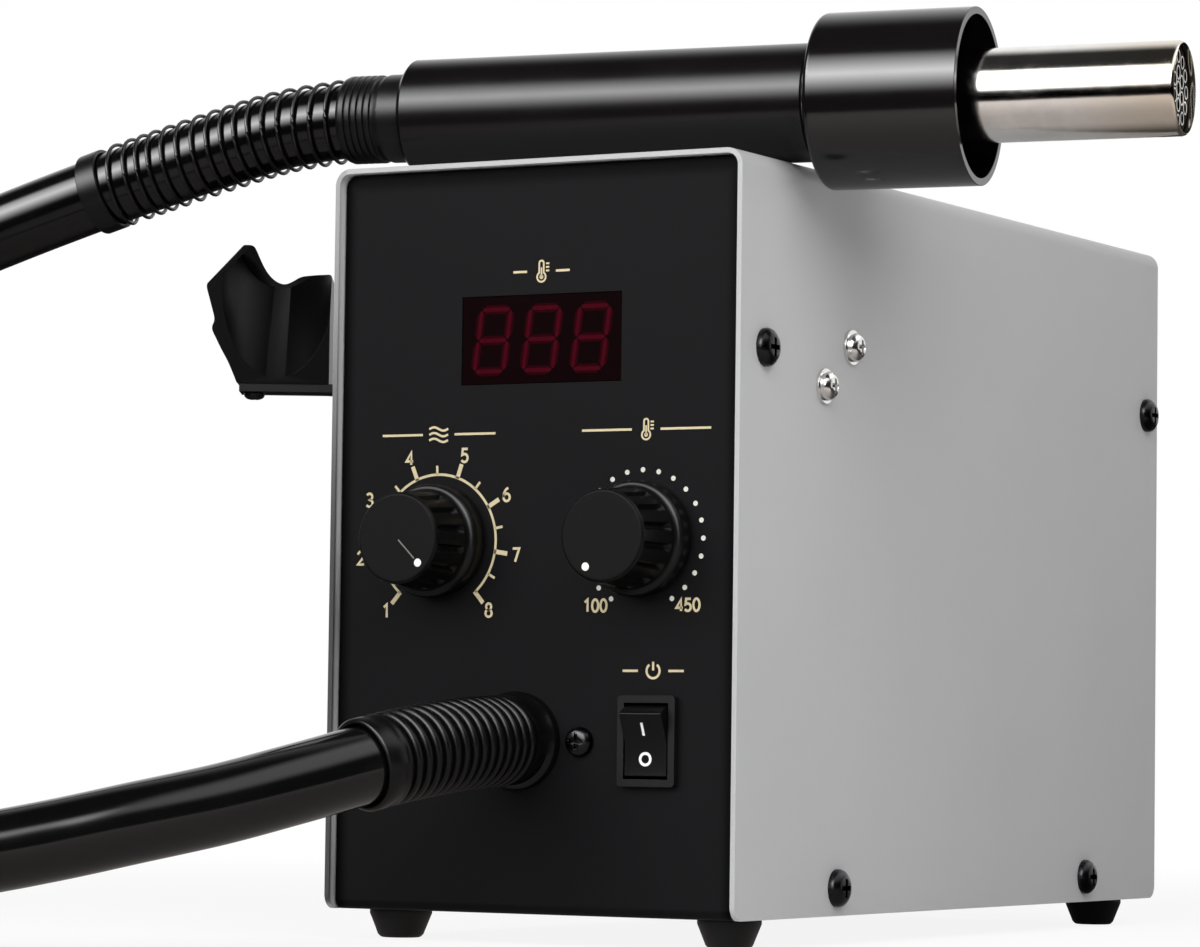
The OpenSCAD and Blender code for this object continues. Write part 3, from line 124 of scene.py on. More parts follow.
BOOT_LEN = 55.6
BOOT_YAW = 19.0
BOOT_DROOP = 12.5
BOOT_STEPS = 60
CUP_DEPTH = 8.0
SPRING_OUTER = 20.6
ROUTE_STEPS = 8

AIR_DIAL = (-26.4, 94.3)
TEMP_DIAL = (28.7, 94.4)
PRINT_HEIGHT = 0.03
PRINT_SINK = 0.02
SIGN_STROKE = 0.55
ROCKER_PIVOT = Vector((31.3, -121.9, 47.7))
ROCKER_TILT = radians(12)
ROCKER_FACE = 2.6

WELD_GAP = 0.003
FLAT_ANGLE = radians(0.5)
EDGE_ANGLE = radians(38)
FLOOR_HALF = 6000
FLOOR_LEVEL = -0.05
# How bright the world's soft box is in mirrors
SOFT_BOX = 16


# Settings

def length_prop(name, description, value, least, most):
    return FloatProperty(
        name=name, description=description, default=value, min=least, max=most, unit="LENGTH")


class StationSizes(bpy.types.PropertyGroup):
    hose_diameter: length_prop(
        "Hose diameter", "Outer diameter of the air hose", 0.018, 0.012, 0.02)
    hose_length: length_prop(
        "Hose length", "Length of the air hose along its middle", 0.85, 0.6, 1.2)
    print_height: length_prop(
        "Number height", "Height of the numbers on the dials", 0.0034, 0.002, 0.005)
    print_stroke: length_prop(
        "Print stroke", "Width of the printed lines", 0.00058, 0.0003, 0.001)
    spring_wire: length_prop(
        "Spring wire", "Wire diameter of the strain relief spring", 0.0009, 0.0006, 0.0012)
    edge_round: length_prop(
        "Edge rounding", "Radius on the edges of rigid pieces", 0.00025, 0.00005, 0.001)
    spring_turns: IntProperty(
        name="Spring turns", description="Turns of the strain relief spring",
        default=16, min=10, max=20)
    knob_flutes: IntProperty(
        name="Knob flutes", description="Grip flutes round each knob",
        default=15, min=10, max=20)


def colour_prop(name, description, value):
    return FloatVectorProperty(
        name=name, description=description, default=value, min=0, max=1,
        subtype="COLOR", size=3)


class StationFinishes(bpy.types.PropertyGroup):
    case_paint: colour_prop("Case paint", "Silver-grey paint of the cover", (0.46, 0.46, 0.462))
    panel_paint: colour_prop("Panel paint", "Black paint of the chassis", (0.0068, 0.0068, 0.0074))
    print_ink: colour_prop("Dial print", "Cream ink of the dial print", (0.57, 0.485, 0.305))
    dot_ink: colour_prop("Dot print", "Pale ink of the temperature dots", (0.64, 0.63, 0.57))
    switch_ink: colour_prop("Switch print", "White of the marks on the switch", (0.85, 0.85, 0.85))
    window_tint: colour_prop("Window", "Dark red of the display window", (0.0034, 0.0006, 0.0010))
    segment_tint: colour_prop("Segments", "Unlit red of the display", (0.046, 0.0020, 0.0062))
    black_plastic: colour_prop("Black plastic", "Knobs and switch", (0.0052, 0.0052, 0.0055))
    handle_plastic: colour_prop("Handle plastic", "Black of the handle", (0.0045, 0.0038, 0.0041))
    rubber: colour_prop("Rubber", "Black of hose, boot and feet", (0.0042, 0.0042, 0.0045))
    steel: colour_prop("Polished steel", "Colour of the heater pipe", (0.80, 0.78, 0.75))
    backdrop: colour_prop("Backdrop", "Floor and background", (1.0, 1.0, 1.0))


def angle_prop(name, description, value):
    return FloatProperty(
        name=name, description=description, default=radians(value), subtype="ANGLE",
        unit="ROTATION")


class StationStage(bpy.types.PropertyGroup):
    lens: FloatProperty(
        name="Lens", description="Focal length of the camera in millimetres",
        default=138.931, min=50, max=300)
    azimuth: angle_prop("Azimuth", "Camera's turn round the station", 29.0995)
    pitch: angle_prop("Pitch", "Camera's upward tilt", 3.3754)
    roll: angle_prop("Roll", "Camera's turn round its own axis", 0.74496)
    camera_at: FloatVectorProperty(
        name="Camera", description="Place of the camera",
        default=(0.54009, -1.06174, 0.04631), subtype="TRANSLATION", unit="LENGTH", size=3)


def sizes():
    return bpy.context.scene.station_sizes


def finishes():
    return bpy.context.scene.station_finishes


# Shader maths

class Wire:
    """An output socket that takes part in Python expressions."""

    def __init__(self, finish, socket):
        self.finish = finish
        self.socket = socket

    def math(self, operation, *others, first=None):
        values = ([first] if first is not None else []) + [self] + list(others)
        return self.finish.node("ShaderNodeMath", {"operation": operation}, dict(enumerate(values)))

    def __add__(self, other):
        return self.math("ADD", other)

    __radd__ = __add__

    def __sub__(self, other):
        return self.math("SUBTRACT", other)

    def __rsub__(self, other):
        return self.math("SUBTRACT", first=other)

    def __mul__(self, other):
        return self.math("MULTIPLY", other)

    __rmul__ = __mul__

    def __truediv__(self, other):
        return self.math("DIVIDE", other)

    def __rtruediv__(self, other):
        return self.math("DIVIDE", first=other)

    def __pow__(self, other):
        return self.math("POWER", other)

    def __rpow__(self, other):
        return self.math("POWER", first=other)

    def __abs__(self):
        return self.math("ABSOLUTE")

    def least(self, other):
        return self.math("MINIMUM", other)

    def most(self, other):
        return self.math("MAXIMUM", other)

    def step(self, start, end):
        """Rises smoothly from 0 at start to 1 at end."""
        return self.finish.node(
            "ShaderNodeMapRange", {"interpolation_type": "SMOOTHSTEP"},
            {"Value": self, "From Min": start, "From Max": end})


class Tree:
    """Adds nodes to a node tree, each from one call."""

    def __init__(self, tree):
        self.tree = tree
        tree.nodes.clear()

    def node(self, kind, settings=None, inputs=None, output=0):
        """Adds a shader node and links or sets its inputs; gives one of its outputs."""
        made = self.tree.nodes.new(kind)
        for key, value in (settings or {}).items():
            setattr(made, key, value)
        for key, value in (inputs or {}).items():
            socket = made.inputs[key]
            if isinstance(value, Wire):
                self.tree.links.new(value.socket, socket)
            elif socket.type == "RGBA" and len(value) == 3:
                socket.default_value = (*value, 1)
            else:
                socket.default_value = value
        return Wire(self, made.outputs[output]) if made.outputs else None

    def mix(self, amount, one, other):
        """Colour one where amount is 0, the other where it is 1."""
        return self.node(
            "ShaderNodeMix", {"data_type": "RGBA"}, {0: amount, 6: one, 7: other}, output=2)

    def place(self):
        return self.node("ShaderNodeTexCoord", output="Object")

    def ray(self, kind):
        """1 for rays of the kind, 0 for others."""
        return self.node("ShaderNodeLightPath", output=f"Is {kind} Ray")

    def vector(self, operation, one, other, output=0):
        return self.node(
            "ShaderNodeVectorMath", {"operation": operation}, {0: one, 1: other}, output=output)

    def stretched(self, scale):
        return self.vector("MULTIPLY", self.place(), scale)

    def parts(self, vector):
        """The vector's X, Y and Z."""
        return [self.node("ShaderNodeSeparateXYZ", inputs={0: vector}, output=axis)
                for axis in range(3)]

    def noise(self, size, detail=3, roughness=0.55, vector=None):
        """Noise whose lumps are about size millimetres across."""
        return self.node("ShaderNodeTexNoise", inputs={
            "Vector": vector or self.place(), "Scale": 1 / (size * MM), "Detail": detail,
            "Roughness": roughness})

    def cells(self, size):
        return self.node("ShaderNodeTexVoronoi", inputs={
            "Vector": self.place(), "Scale": 1 / (size * MM)})

    def bump(self, height, depth):
        """Normal of a relief that is depth millimetres high where height is 1."""
        return self.node("ShaderNodeBump", inputs={"Distance": depth * MM, "Height": height})


class Finish(Tree):
    """One named material with a Principled shader, made from keyword values."""

    def __init__(self, name):
        self.material = bpy.data.materials.new(name)
        self.material.use_nodes = True
        super().__init__(self.material.node_tree)

    def shade(self, **values):
        """Principled shader; a value is a number, a colour or a wire."""
        names = {
            "colour": "Base Color", "roughness": "Roughness", "metallic": "Metallic",
            "coat": "Coat Weight", "coat_roughness": "Coat Roughness",
            "gloss": "Specular IOR Level", "normal": "Normal"}
        shader = self.node(
            "ShaderNodeBsdfPrincipled", inputs={names[key]: value for key, value in values.items()})
        self.node("ShaderNodeOutputMaterial", inputs={"Surface": shader})
        return self.material


def varied(finish, colour, amount, mottle):
    """The colour, lighter and darker by amount where mottle is high and low."""
    dark = [c * (1 - amount) for c in colour]
    light = [min(1.0, c * (1 + amount)) for c in colour]
    return finish.mix(mottle, dark, light)


def powder_paint(name, colour, roughness, depth=0.012, gloss=0.4, shade=None):
    """Baked powder paint: a fine even orange peel and faint cloudy tone.
    shade(finish) gives a factor of painted shade that darkens the colour by place."""
    f = Finish(name)
    peel = f.noise(0.6, detail=2)
    clouds = f.noise(50, detail=4)
    specks = f.cells(0.42).step(0.0, 0.5)
    tone = varied(f, colour, 0.05, clouds)
    return f.shade(
        colour=f.mix(shade(f), (0, 0, 0), tone) if shade else tone,
        roughness=roughness + (clouds - 0.5) * 0.08 + (peel - 0.5) * 0.06,
        gloss=gloss,
        normal=f.bump(peel * 0.7 + specks * 0.3, depth))


def moulded(name, colour, roughness, grain=0.5, depth=0.008, gloss=0.5, coat=None):
    """Moulded plastic: fine spark-eroded grain with light rubbing.
    coat(finish) gives the weight of a satin coat by place."""
    f = Finish(name)
    lacquer = {"coat": coat(f), "coat_roughness": 0.3} if coat else {}
    relief = f.noise(grain, detail=2)
    rub = f.noise(18, detail=5, roughness=0.65)
    return f.shade(
        colour=varied(f, colour, 0.12, rub),
        roughness=roughness + (rub - 0.5) * 0.12,
        gloss=gloss, normal=f.bump(relief, depth), **lacquer)


def soft_rubber(name, colour, roughness=0.42, depth=0.02, gloss=0.3):
    """Black rubber: dusty bloom, a dull skin and shallow moulding ripple."""
    f = Finish(name)
    skin = f.noise(1.1, detail=4, roughness=0.6)
    bloom = f.noise(25, detail=5, roughness=0.7)
    return f.shade(
        colour=f.mix(bloom.step(0.45, 0.85) * 0.35, colour, [c * 2.2 + 0.001 for c in colour]),
        roughness=(0.8 + bloom * 0.4) * roughness,
        gloss=gloss,
        normal=f.bump(skin, depth))


def metal(name, colour, roughness, lines=(1, 1, 1), depth=0.004):
    """Worked metal: fine scratches drawn out along the axis whose factor is small."""
    f = Finish(name)
    streaks = f.noise(0.9, vector=f.stretched(lines))
    stain = f.noise(12, detail=4)
    return f.shade(
        colour=varied(f, colour, 0.06, stain * 0.6 + streaks * 0.4),
        metallic=1.0,
        roughness=roughness + (streaks - 0.5) * 0.12,
        normal=f.bump(streaks, depth))


def printed(name, colour):
    """Screen-printed ink: a little uneven in cover."""
    f = Finish(name)
    cover = f.noise(0.7)
    return f.shade(
        colour=varied(f, colour, 0.1, cover),
        roughness=0.5 + (cover - 0.5) * 0.1,
        normal=f.bump(cover, 0.004))


# Mesh tools. Lengths in millimetres, turned into metres when the mesh is made.

def new_object(name, data):
    made = bpy.data.objects.new(name, data)
    bpy.context.scene.collection.objects.link(made)
    return made


def new_piece(name, verts, faces, material, body=None, sharp=35, smooth=True):
    """A mesh object that rides on a body; sharp is the least angle of a hard edge."""
    mesh = bpy.data.meshes.new(name)
    mesh.from_pydata([Vector(v) * MM for v in verts], [], faces)
    mesh.validate()
    made = bmesh.new()
    made.from_mesh(mesh)
    bmesh.ops.recalc_face_normals(made, faces=made.faces)
    made.to_mesh(mesh)
    made.free()
    mesh.materials.append(material)
    piece = new_object(name, mesh)
    if smooth:
        mesh.shade_smooth()
        mesh.set_sharp_from_angle(angle=radians(sharp))
    if body:
        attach(piece, body)
    return piece


def grid_faces(rows, sides, start=0, caps=(True, True)):
    """Faces of a tube through rows of sides points each, with flat ends."""
    faces = []
    for i in range(rows - 1):
        for k in range(sides):
            a, b = start + i * sides + k, start + i * sides + (k + 1) % sides
            faces.append((a, b, b + sides, a + sides))
    if caps[0]:
        faces.append(tuple(start + k for k in reversed(range(sides))))
    if caps[1]:
        last = start + (rows - 1) * sides
        faces.append(tuple(last + k for k in range(sides)))
    return faces


def fillet(points, radius):
    """Rounds the inner corners of an open line of 2D points."""
    steps = 4
    out = [Vector(points[0])]
    for before, here, after in zip(points, points[1:], points[2:]):
        here = Vector(here)
        a, b = Vector(before) - here, Vector(after) - here
        r = min(radius, a.length * 0.45, b.length * 0.45)
        start, end = here + a.normalized() * r, here + b.normalized() * r
        for k in range(steps + 1):
            t = k / steps
            out.append((1 - t) ** 2 * start + 2 * t * (1 - t) * here + t ** 2 * end)
    out.append(Vector(points[-1]))
    return out


def round_angles(count):
    """Angles spread evenly round a circle, from 0."""
    return [2 * pi * k / count for k in range(count)]


def lathe(profile, sides, at=Matrix.Identity(4), shape=None, start=0, caps=(True, True)):
    """Vertices and faces of a turned form; profile is (radius, height) from one end to the other.
    shape(radius, height, angle) may change the radius."""
    verts = []
    for r, z in profile:
        for a in round_angles(sides):
            rr = shape(r, z, a) if shape else r
            verts.append(at @ Vector((rr * cos(a), rr * sin(a), z)))
    return verts, grid_faces(len(profile), sides, start, caps)


def across(d):
    """Level direction at right angles to d."""
    return Vector((d.y, -d.x, 0)).normalized()


def tube(centres, directions, radii, sides):
    verts = []
    for c, d, r in zip(centres, directions, radii):
        side, up = across(d), across(d).cross(d)
        verts += [c + r * (cos(a) * side + sin(a) * up) for a in round_angles(sides)]
    return verts, grid_faces(len(centres), sides)


def tangents(points):
    out = []
    for i in range(len(points)):
        a, b = points[max(i - 1, 0)], points[min(i + 1, len(points) - 1)]
        out.append((b - a).normalized())
    return out


# The hose's line

def boot_dir(s):
    """Direction of the boot's axis at s millimetres from the panel."""
    a, b = radians(BOOT_YAW * s / BOOT_LEN), radians(BOOT_DROOP * s / BOOT_LEN)
    return Vector((-sin(a) * cos(b), -cos(a) * cos(b), -sin(b)))


def boot_line():
    points, step = [BOOT_START], BOOT_LEN / BOOT_STEPS
    for i in range(1, BOOT_STEPS + 1):
        points.append(points[-1] + step * boot_dir((i - 0.5) * step))
    return points


def boot_at(s):
    points, u = boot_line(), s / BOOT_LEN * BOOT_STEPS
    i = max(0, min(int(u), BOOT_STEPS - 1))
    return points[i] + (u - i) * (points[i + 1] - points[i])


def on_handset(t):
    """Point on the handset's axis, t millimetres from the handle's rear end."""
    return COLLAR_AT + (t - HANDLE_LEN) * HANDSET_DIR


def hose_points():
    start, mouth = on_handset(-GROMMET_LEN), boot_at(BOOT_LEN)
    return ([start] + [start + Vector(p) for p in GROMMET_ROUTE] + [Vector(p) for p in DESK_ROUTE]
            + [mouth + Vector(p) for p in BOOT_ROUTE] + [boot_at(BOOT_LEN - CUP_DEPTH)])


def hose_curve(v):
    """Point on the smooth hose line; v counts route points from the handset."""
    p = hose_points()
    i = max(0, min(int(v), len(p) - 2))
    u = v - i
    a = p[i - 1] if i > 0 else 2 * p[0] - p[1]
    d = p[i + 2] if i + 2 < len(p) else 2 * p[-1] - p[-2]
    b, c = p[i], p[i + 1]
    return 0.5 * (2 * b + (c - a) * u + (2 * a - 5 * b + 4 * c - d) * u * u
                  + (3 * b - a - 3 * c + d) * u ** 3)


# Dressing a solid of the frame

def dress(name, material, edge=None, segments=2):
    """Gives a CAD node its finish and rounds its sharp edges by edge millimetres."""
    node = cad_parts[name]
    mesh = node.data
    mesh.materials.clear()
    mesh.materials.append(material)
    for polygon in mesh.polygons:
        polygon.material_index = 0
        polygon.use_smooth = True
    width = sizes().edge_round if edge is None else edge * MM
    weld = node.modifiers.new("weld", "WELD")
    weld.merge_threshold = WELD_GAP * MM
    flat = node.modifiers.new("flat", "DECIMATE")
    flat.decimate_type = "DISSOLVE"
    flat.angle_limit = FLAT_ANGLE
    if width > 0:
        bevel = node.modifiers.new("edge", "BEVEL")
        bevel.width = width
        bevel.segments = segments
        bevel.limit_method = "ANGLE"
        bevel.angle_limit = EDGE_ANGLE
    normals = node.modifiers.new("normals", "WEIGHTED_NORMAL")
    normals.weight = 100
    normals.keep_sharp = True
    return node


class StationOperator(bpy.types.Operator):
    """Base of the station's operators."""

    bl_options = {"REGISTER", "UNDO"}

    def execute(self, context):
        self.make()
        return {"FINISHED"}


class STATION_OT_stage(StationOperator):
    """Adds the camera, the floor, the lamps and the world"""

    bl_idname = "station.stage"
    bl_label = "Stage"

    def make(self):
        scene = bpy.context.scene
        scene.view_settings.view_transform = "Standard"
        self.camera(scene, scene.station_stage)
        self.world(scene)
        self.floor()
        self.lamps()

    def camera(self, scene, setting):
        az, pitch, roll = setting.azimuth, setting.pitch, setting.roll
        forward = Vector((-sin(az) * cos(pitch), cos(az) * cos(pitch), sin(pitch)))
        right = Vector((cos(az), sin(az), 0))
        up = right.cross(forward)
        x = cos(roll) * right + sin(roll) * up
        y = -sin(roll) * right + cos(roll) * up
        data = bpy.data.cameras.new("photo_camera")
        data.lens = setting.lens
        data.sensor_width = 36
        data.sensor_fit = "HORIZONTAL"
        camera = new_object("photo_camera", data)
        turn = Matrix((x, y, -forward)).transposed()
        camera.matrix_world = Matrix.Translation(setting.camera_at) @ turn.to_4x4()
        scene.camera = camera

    def world(self, scene):
        scene.world = bpy.data.worlds.new("studio")
        scene.world.use_nodes = True
        t = Tree(scene.world.node_tree)
        seen = t.ray("Camera")
        glossy = t.ray("Glossy")
        through = t.ray("Transmission")
        x, y, z = t.parts(t.node("ShaderNodeTexCoord", output="Generated"))
        # a tall soft box in front, brightest 27 degrees up, a faint one above to the right
        # and a white wall behind
        rising = (z / 0.45).most(0) ** 1.5
        falling = ((0.80 - z) / 0.35).most(0)
        box = rising.least(falling) * (1 - y.step(-0.55, -0.35))
        box = box * x.step(-0.75, -0.6) * (1 - x.step(0.25, 0.4))
        above = x.step(0.15, 0.45) * z.step(0.45, 0.7)
        mirrored = 0.03 + box * SOFT_BOX + above * 1.6 + y.step(0.1, 0.65)
        shiny = glossy.most(through)
        level = seen + (1 - seen) * (shiny * mirrored + (1 - shiny) * 0.08)
        shader = t.node("ShaderNodeBackground", inputs={"Color": (1, 1, 1), "Strength": level})
        t.node("ShaderNodeOutputWorld", inputs={"Surface": shader})

    def floor(self):
        f = Finish("floor")
        seen = f.ray("Camera")
        mirrored = f.ray("Glossy")
        x, y, _ = f.parts(f.place())
        far = (x * x + y * y) ** 0.5
        share = (seen * (0.89 + far.step(0.25, 0.8) * 0.11)).most(mirrored)
        # in polished surfaces the floor is a table that ends in front of the station
        table = (0.7 + far.step(0.15, 0.5) * 0.6) * (1 - far.step(0.56, 0.66))
        table = table * (0.3 + x.step(-0.25, 0.02) * 0.7) * (1 - y.step(-0.12, 0.06) * 0.85)
        white = finishes().backdrop
        tan = (0.62, 0.57, 0.55)
        grain = f.noise(10)
        lit = f.node("ShaderNodeBsdfDiffuse", inputs={
            "Color": varied(f, [c * 0.86 for c in white], 0.01, grain)})
        glow = f.node("ShaderNodeEmission", inputs={
            "Color": f.mix(mirrored, white, tan), "Strength": 1 - mirrored + mirrored * table})
        mixed = f.node("ShaderNodeMixShader", inputs={0: share, 1: lit, 2: glow})
        f.node("ShaderNodeOutputMaterial", inputs={"Surface": mixed})
        corners = ((-1, -1), (1, -1), (1, 1), (-1, 1))
        floor = new_piece(
            "floor", [(a * FLOOR_HALF, b * FLOOR_HALF, FLOOR_LEVEL) for a, b in corners],
            [(0, 1, 2, 3)], f.material, smooth=False)
        floor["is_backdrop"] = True

    def lamps(self):
        """Lamps that light the paint; what shines in glossy surfaces is in the world."""
        aim = Vector((0.02, -0.08, 0.14))
        for name, at, size, power in (
                ("side", (0.55, -0.45, 0.60), (0.65, 0.65), 5.2),
                ("front", (-0.10, -1.30, 0.75), (1.2, 0.9), 13),
                ("left_fill", (-0.90, -0.50, 0.90), (0.8, 0.8), 1),
                ("back", (0.25, 0.95, 1.25), (1.2, 0.6), 4)):
            data = bpy.data.lights.new(name, "AREA")
            data.shape = "RECTANGLE"
            data.size, data.size_y = size
            data.energy = power
            lamp = new_object(name, data)
            lamp.location = at
            lamp.rotation_euler = (aim - Vector(at)).to_track_quat("-Z", "Y").to_euler()
            lamp.visible_glossy = False
            lamp.visible_camera = False


class STATION_OT_hose(StationOperator):
    """Makes the air hose, its ribbed boot, and the spring and ring on it"""

    bl_idname = "station.hose"
    bl_label = "Hose"

    def make(self):
        colour = finishes().rubber
        deep = [c * 0.5 for c in colour]
        count = (len(hose_points()) - 1) * ROUTE_STEPS
        line = [hose_curve(k / ROUTE_STEPS) for k in range(count + 1)]
        hose = self.hose(
            line, soft_rubber("hose_rubber", deep, roughness=0.13, depth=0.002, gloss=0.42))
        self.boot(soft_rubber("boot_rubber", deep, roughness=0.3, gloss=0.25))
        wire = self.spring(metal("spring_wire", (0.05, 0.05, 0.052), 0.35))
        sleeve = dress("spring_ring", moulded("ring_plastic", colour, 0.3, gloss=0.25))
        grommet = soft_rubber("grommet_rubber", colour, roughness=0.3, gloss=0.25)
        dress("rear_grommet", grommet, edge=0.1)
        points = [p * MM for p in line]
        tuple(boot_at(BOOT_LEN) * MM)
        [tuple(p) for p in reversed(points)]

    def hose(self, centres, material):
        directions = tangents(centres)
        directions[0] = -HANDSET_DIR
        directions[-1] = -boot_dir(BOOT_LEN - CUP_DEPTH)
        r = sizes().hose_diameter / MM / 2
        verts, faces = tube(centres, directions, [r] * len(centres), 40)
        hose = new_piece("air_hose_skin", verts, faces, material)
        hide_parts("air_hose")
        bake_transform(hose)
        return hose

    def boot(self, material):
        flange, rib, groove, ribs = 11.6, 10.7, 1.5, 15
        first, last = 6.6, BOOT_LEN - 5
        pitch = (last - first) / ribs
        profile = [
            (-1.2, flange - 1.3), (0, flange - 1.3), (0, flange), (1.6, flange),
            (2.2, flange - 0.3), (3.0, rib - 0.35), (first - 1, rib - 0.25)]
        for i in range(ribs):
            for share, inset in (
                    (0.05, 0.5), (0.12, 1), (0.4, 1), (0.48, 0.5),
                    (0.54, 0.08), (0.66, 0), (0.86, 0), (0.97, 0.08)):
                profile.append((first + (i + share) * pitch, rib - groove * inset))
        cup = 9.4
        profile += [
            (last + 0.5, rib), (BOOT_LEN - 0.5, rib), (BOOT_LEN, rib - 0.5),
            (BOOT_LEN, cup + 0.3), (BOOT_LEN - 0.3, cup), (BOOT_LEN - CUP_DEPTH, cup)]
        centres = [boot_at(s) for s, r in profile]
        directions = [boot_dir(max(s, 0)) for s, r in profile]
        verts, faces = tube(centres, directions, [r for s, r in profile], 72)
        boot = new_piece("ribbed_boot", verts, faces, material, "station", sharp=50)
        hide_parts("hose_boot")

    def spring(self, material):
        # start and end count route points from the handset
        start, end, per_turn = 0.05, 4.0, 36
        wire = sizes().spring_wire / MM
        r = (SPRING_OUTER - wire) / 2
        count = sizes().spring_turns * per_turn
        centres = []
        for k in range(count + 1):
            v = start + (end - start) * k / count
            d = (hose_curve(v + 0.02) - hose_curve(max(v - 0.02, 0))).normalized()
            a = 2 * pi * k / per_turn
            up = across(d).cross(d)
            centres.append(hose_curve(v) + r * (cos(a) * across(d) + sin(a) * up))
        verts, faces = tube(centres, tangents(centres), [wire / 2] * len(centres), 10)
        spring = new_piece("relief_spring", verts, faces, material, "handset")
        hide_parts("strain_spring")
        return spring


class STATION_OT_case(StationOperator):
    """Finishes the cover, the chassis, the feet and their screws"""

    bl_idname = "station.case"
    bl_label = "Case"

    def make(self):
        f = finishes()
        # the cover's colour carries painted shade on its left front corner
        silver = powder_paint("case_paint", f.case_paint, 0.42, gloss=0.12, shade=self.painted_corner_shade)
        dress("cover", silver, edge=0.4, segments=3)
        # the panel's colour carries painted shade along its recessed edges
        panel = powder_paint(
            "chassis_paint", f.panel_paint, 0.42, gloss=0.03, depth=0.008,
            shade=self.painted_edge_shade)
        dress("chassis", panel, edge=0.2)
        rubber = soft_rubber("foot_rubber", f.rubber, roughness=0.5)
        dress("feet", rubber, edge=0.4, segments=3)
        black = metal("blackened_steel", (0.028, 0.028, 0.03), 0.28)
        bright = metal("nickel_plate", (0.78, 0.77, 0.75), 0.2)
        dull = metal("zinc_plate", (0.55, 0.56, 0.57), 0.38)
        for name in ("cover_screws", "boot_screws", "cradle_screw"):
            dress(name, black, edge=0.25, segments=3)
        for name in ("spare_screws", "holder_screws"):
            dress(name, bright, edge=0.15)
        for name in ("foot_screws", "spare_nuts", "holder_nuts", "board_screws", "control_nuts"):
            dress(name, dull, edge=0.1)

    def painted_corner_shade(self, f):
        """Painted shade on the cover's left front corner, darker toward its foot."""
        x, y, z = f.parts(f.place())
        near = (1 - y.step(-0.1248, -0.1236)) * (1 - x.step(-0.0525, -0.0515))
        return 1 - near * (0.25 + 0.6 * (1 - z.step(0.09, 0.18)))

    def painted_edge_shade(self, f):
        """Painted shade along the panel's side and top edges, where it sits recessed in the cover.
        """
        x, _, z = f.parts(f.place())
        return 1 - 0.85 * abs(x).step(0.0495, 0.0525).most(z.step(0.1775, 0.1808))


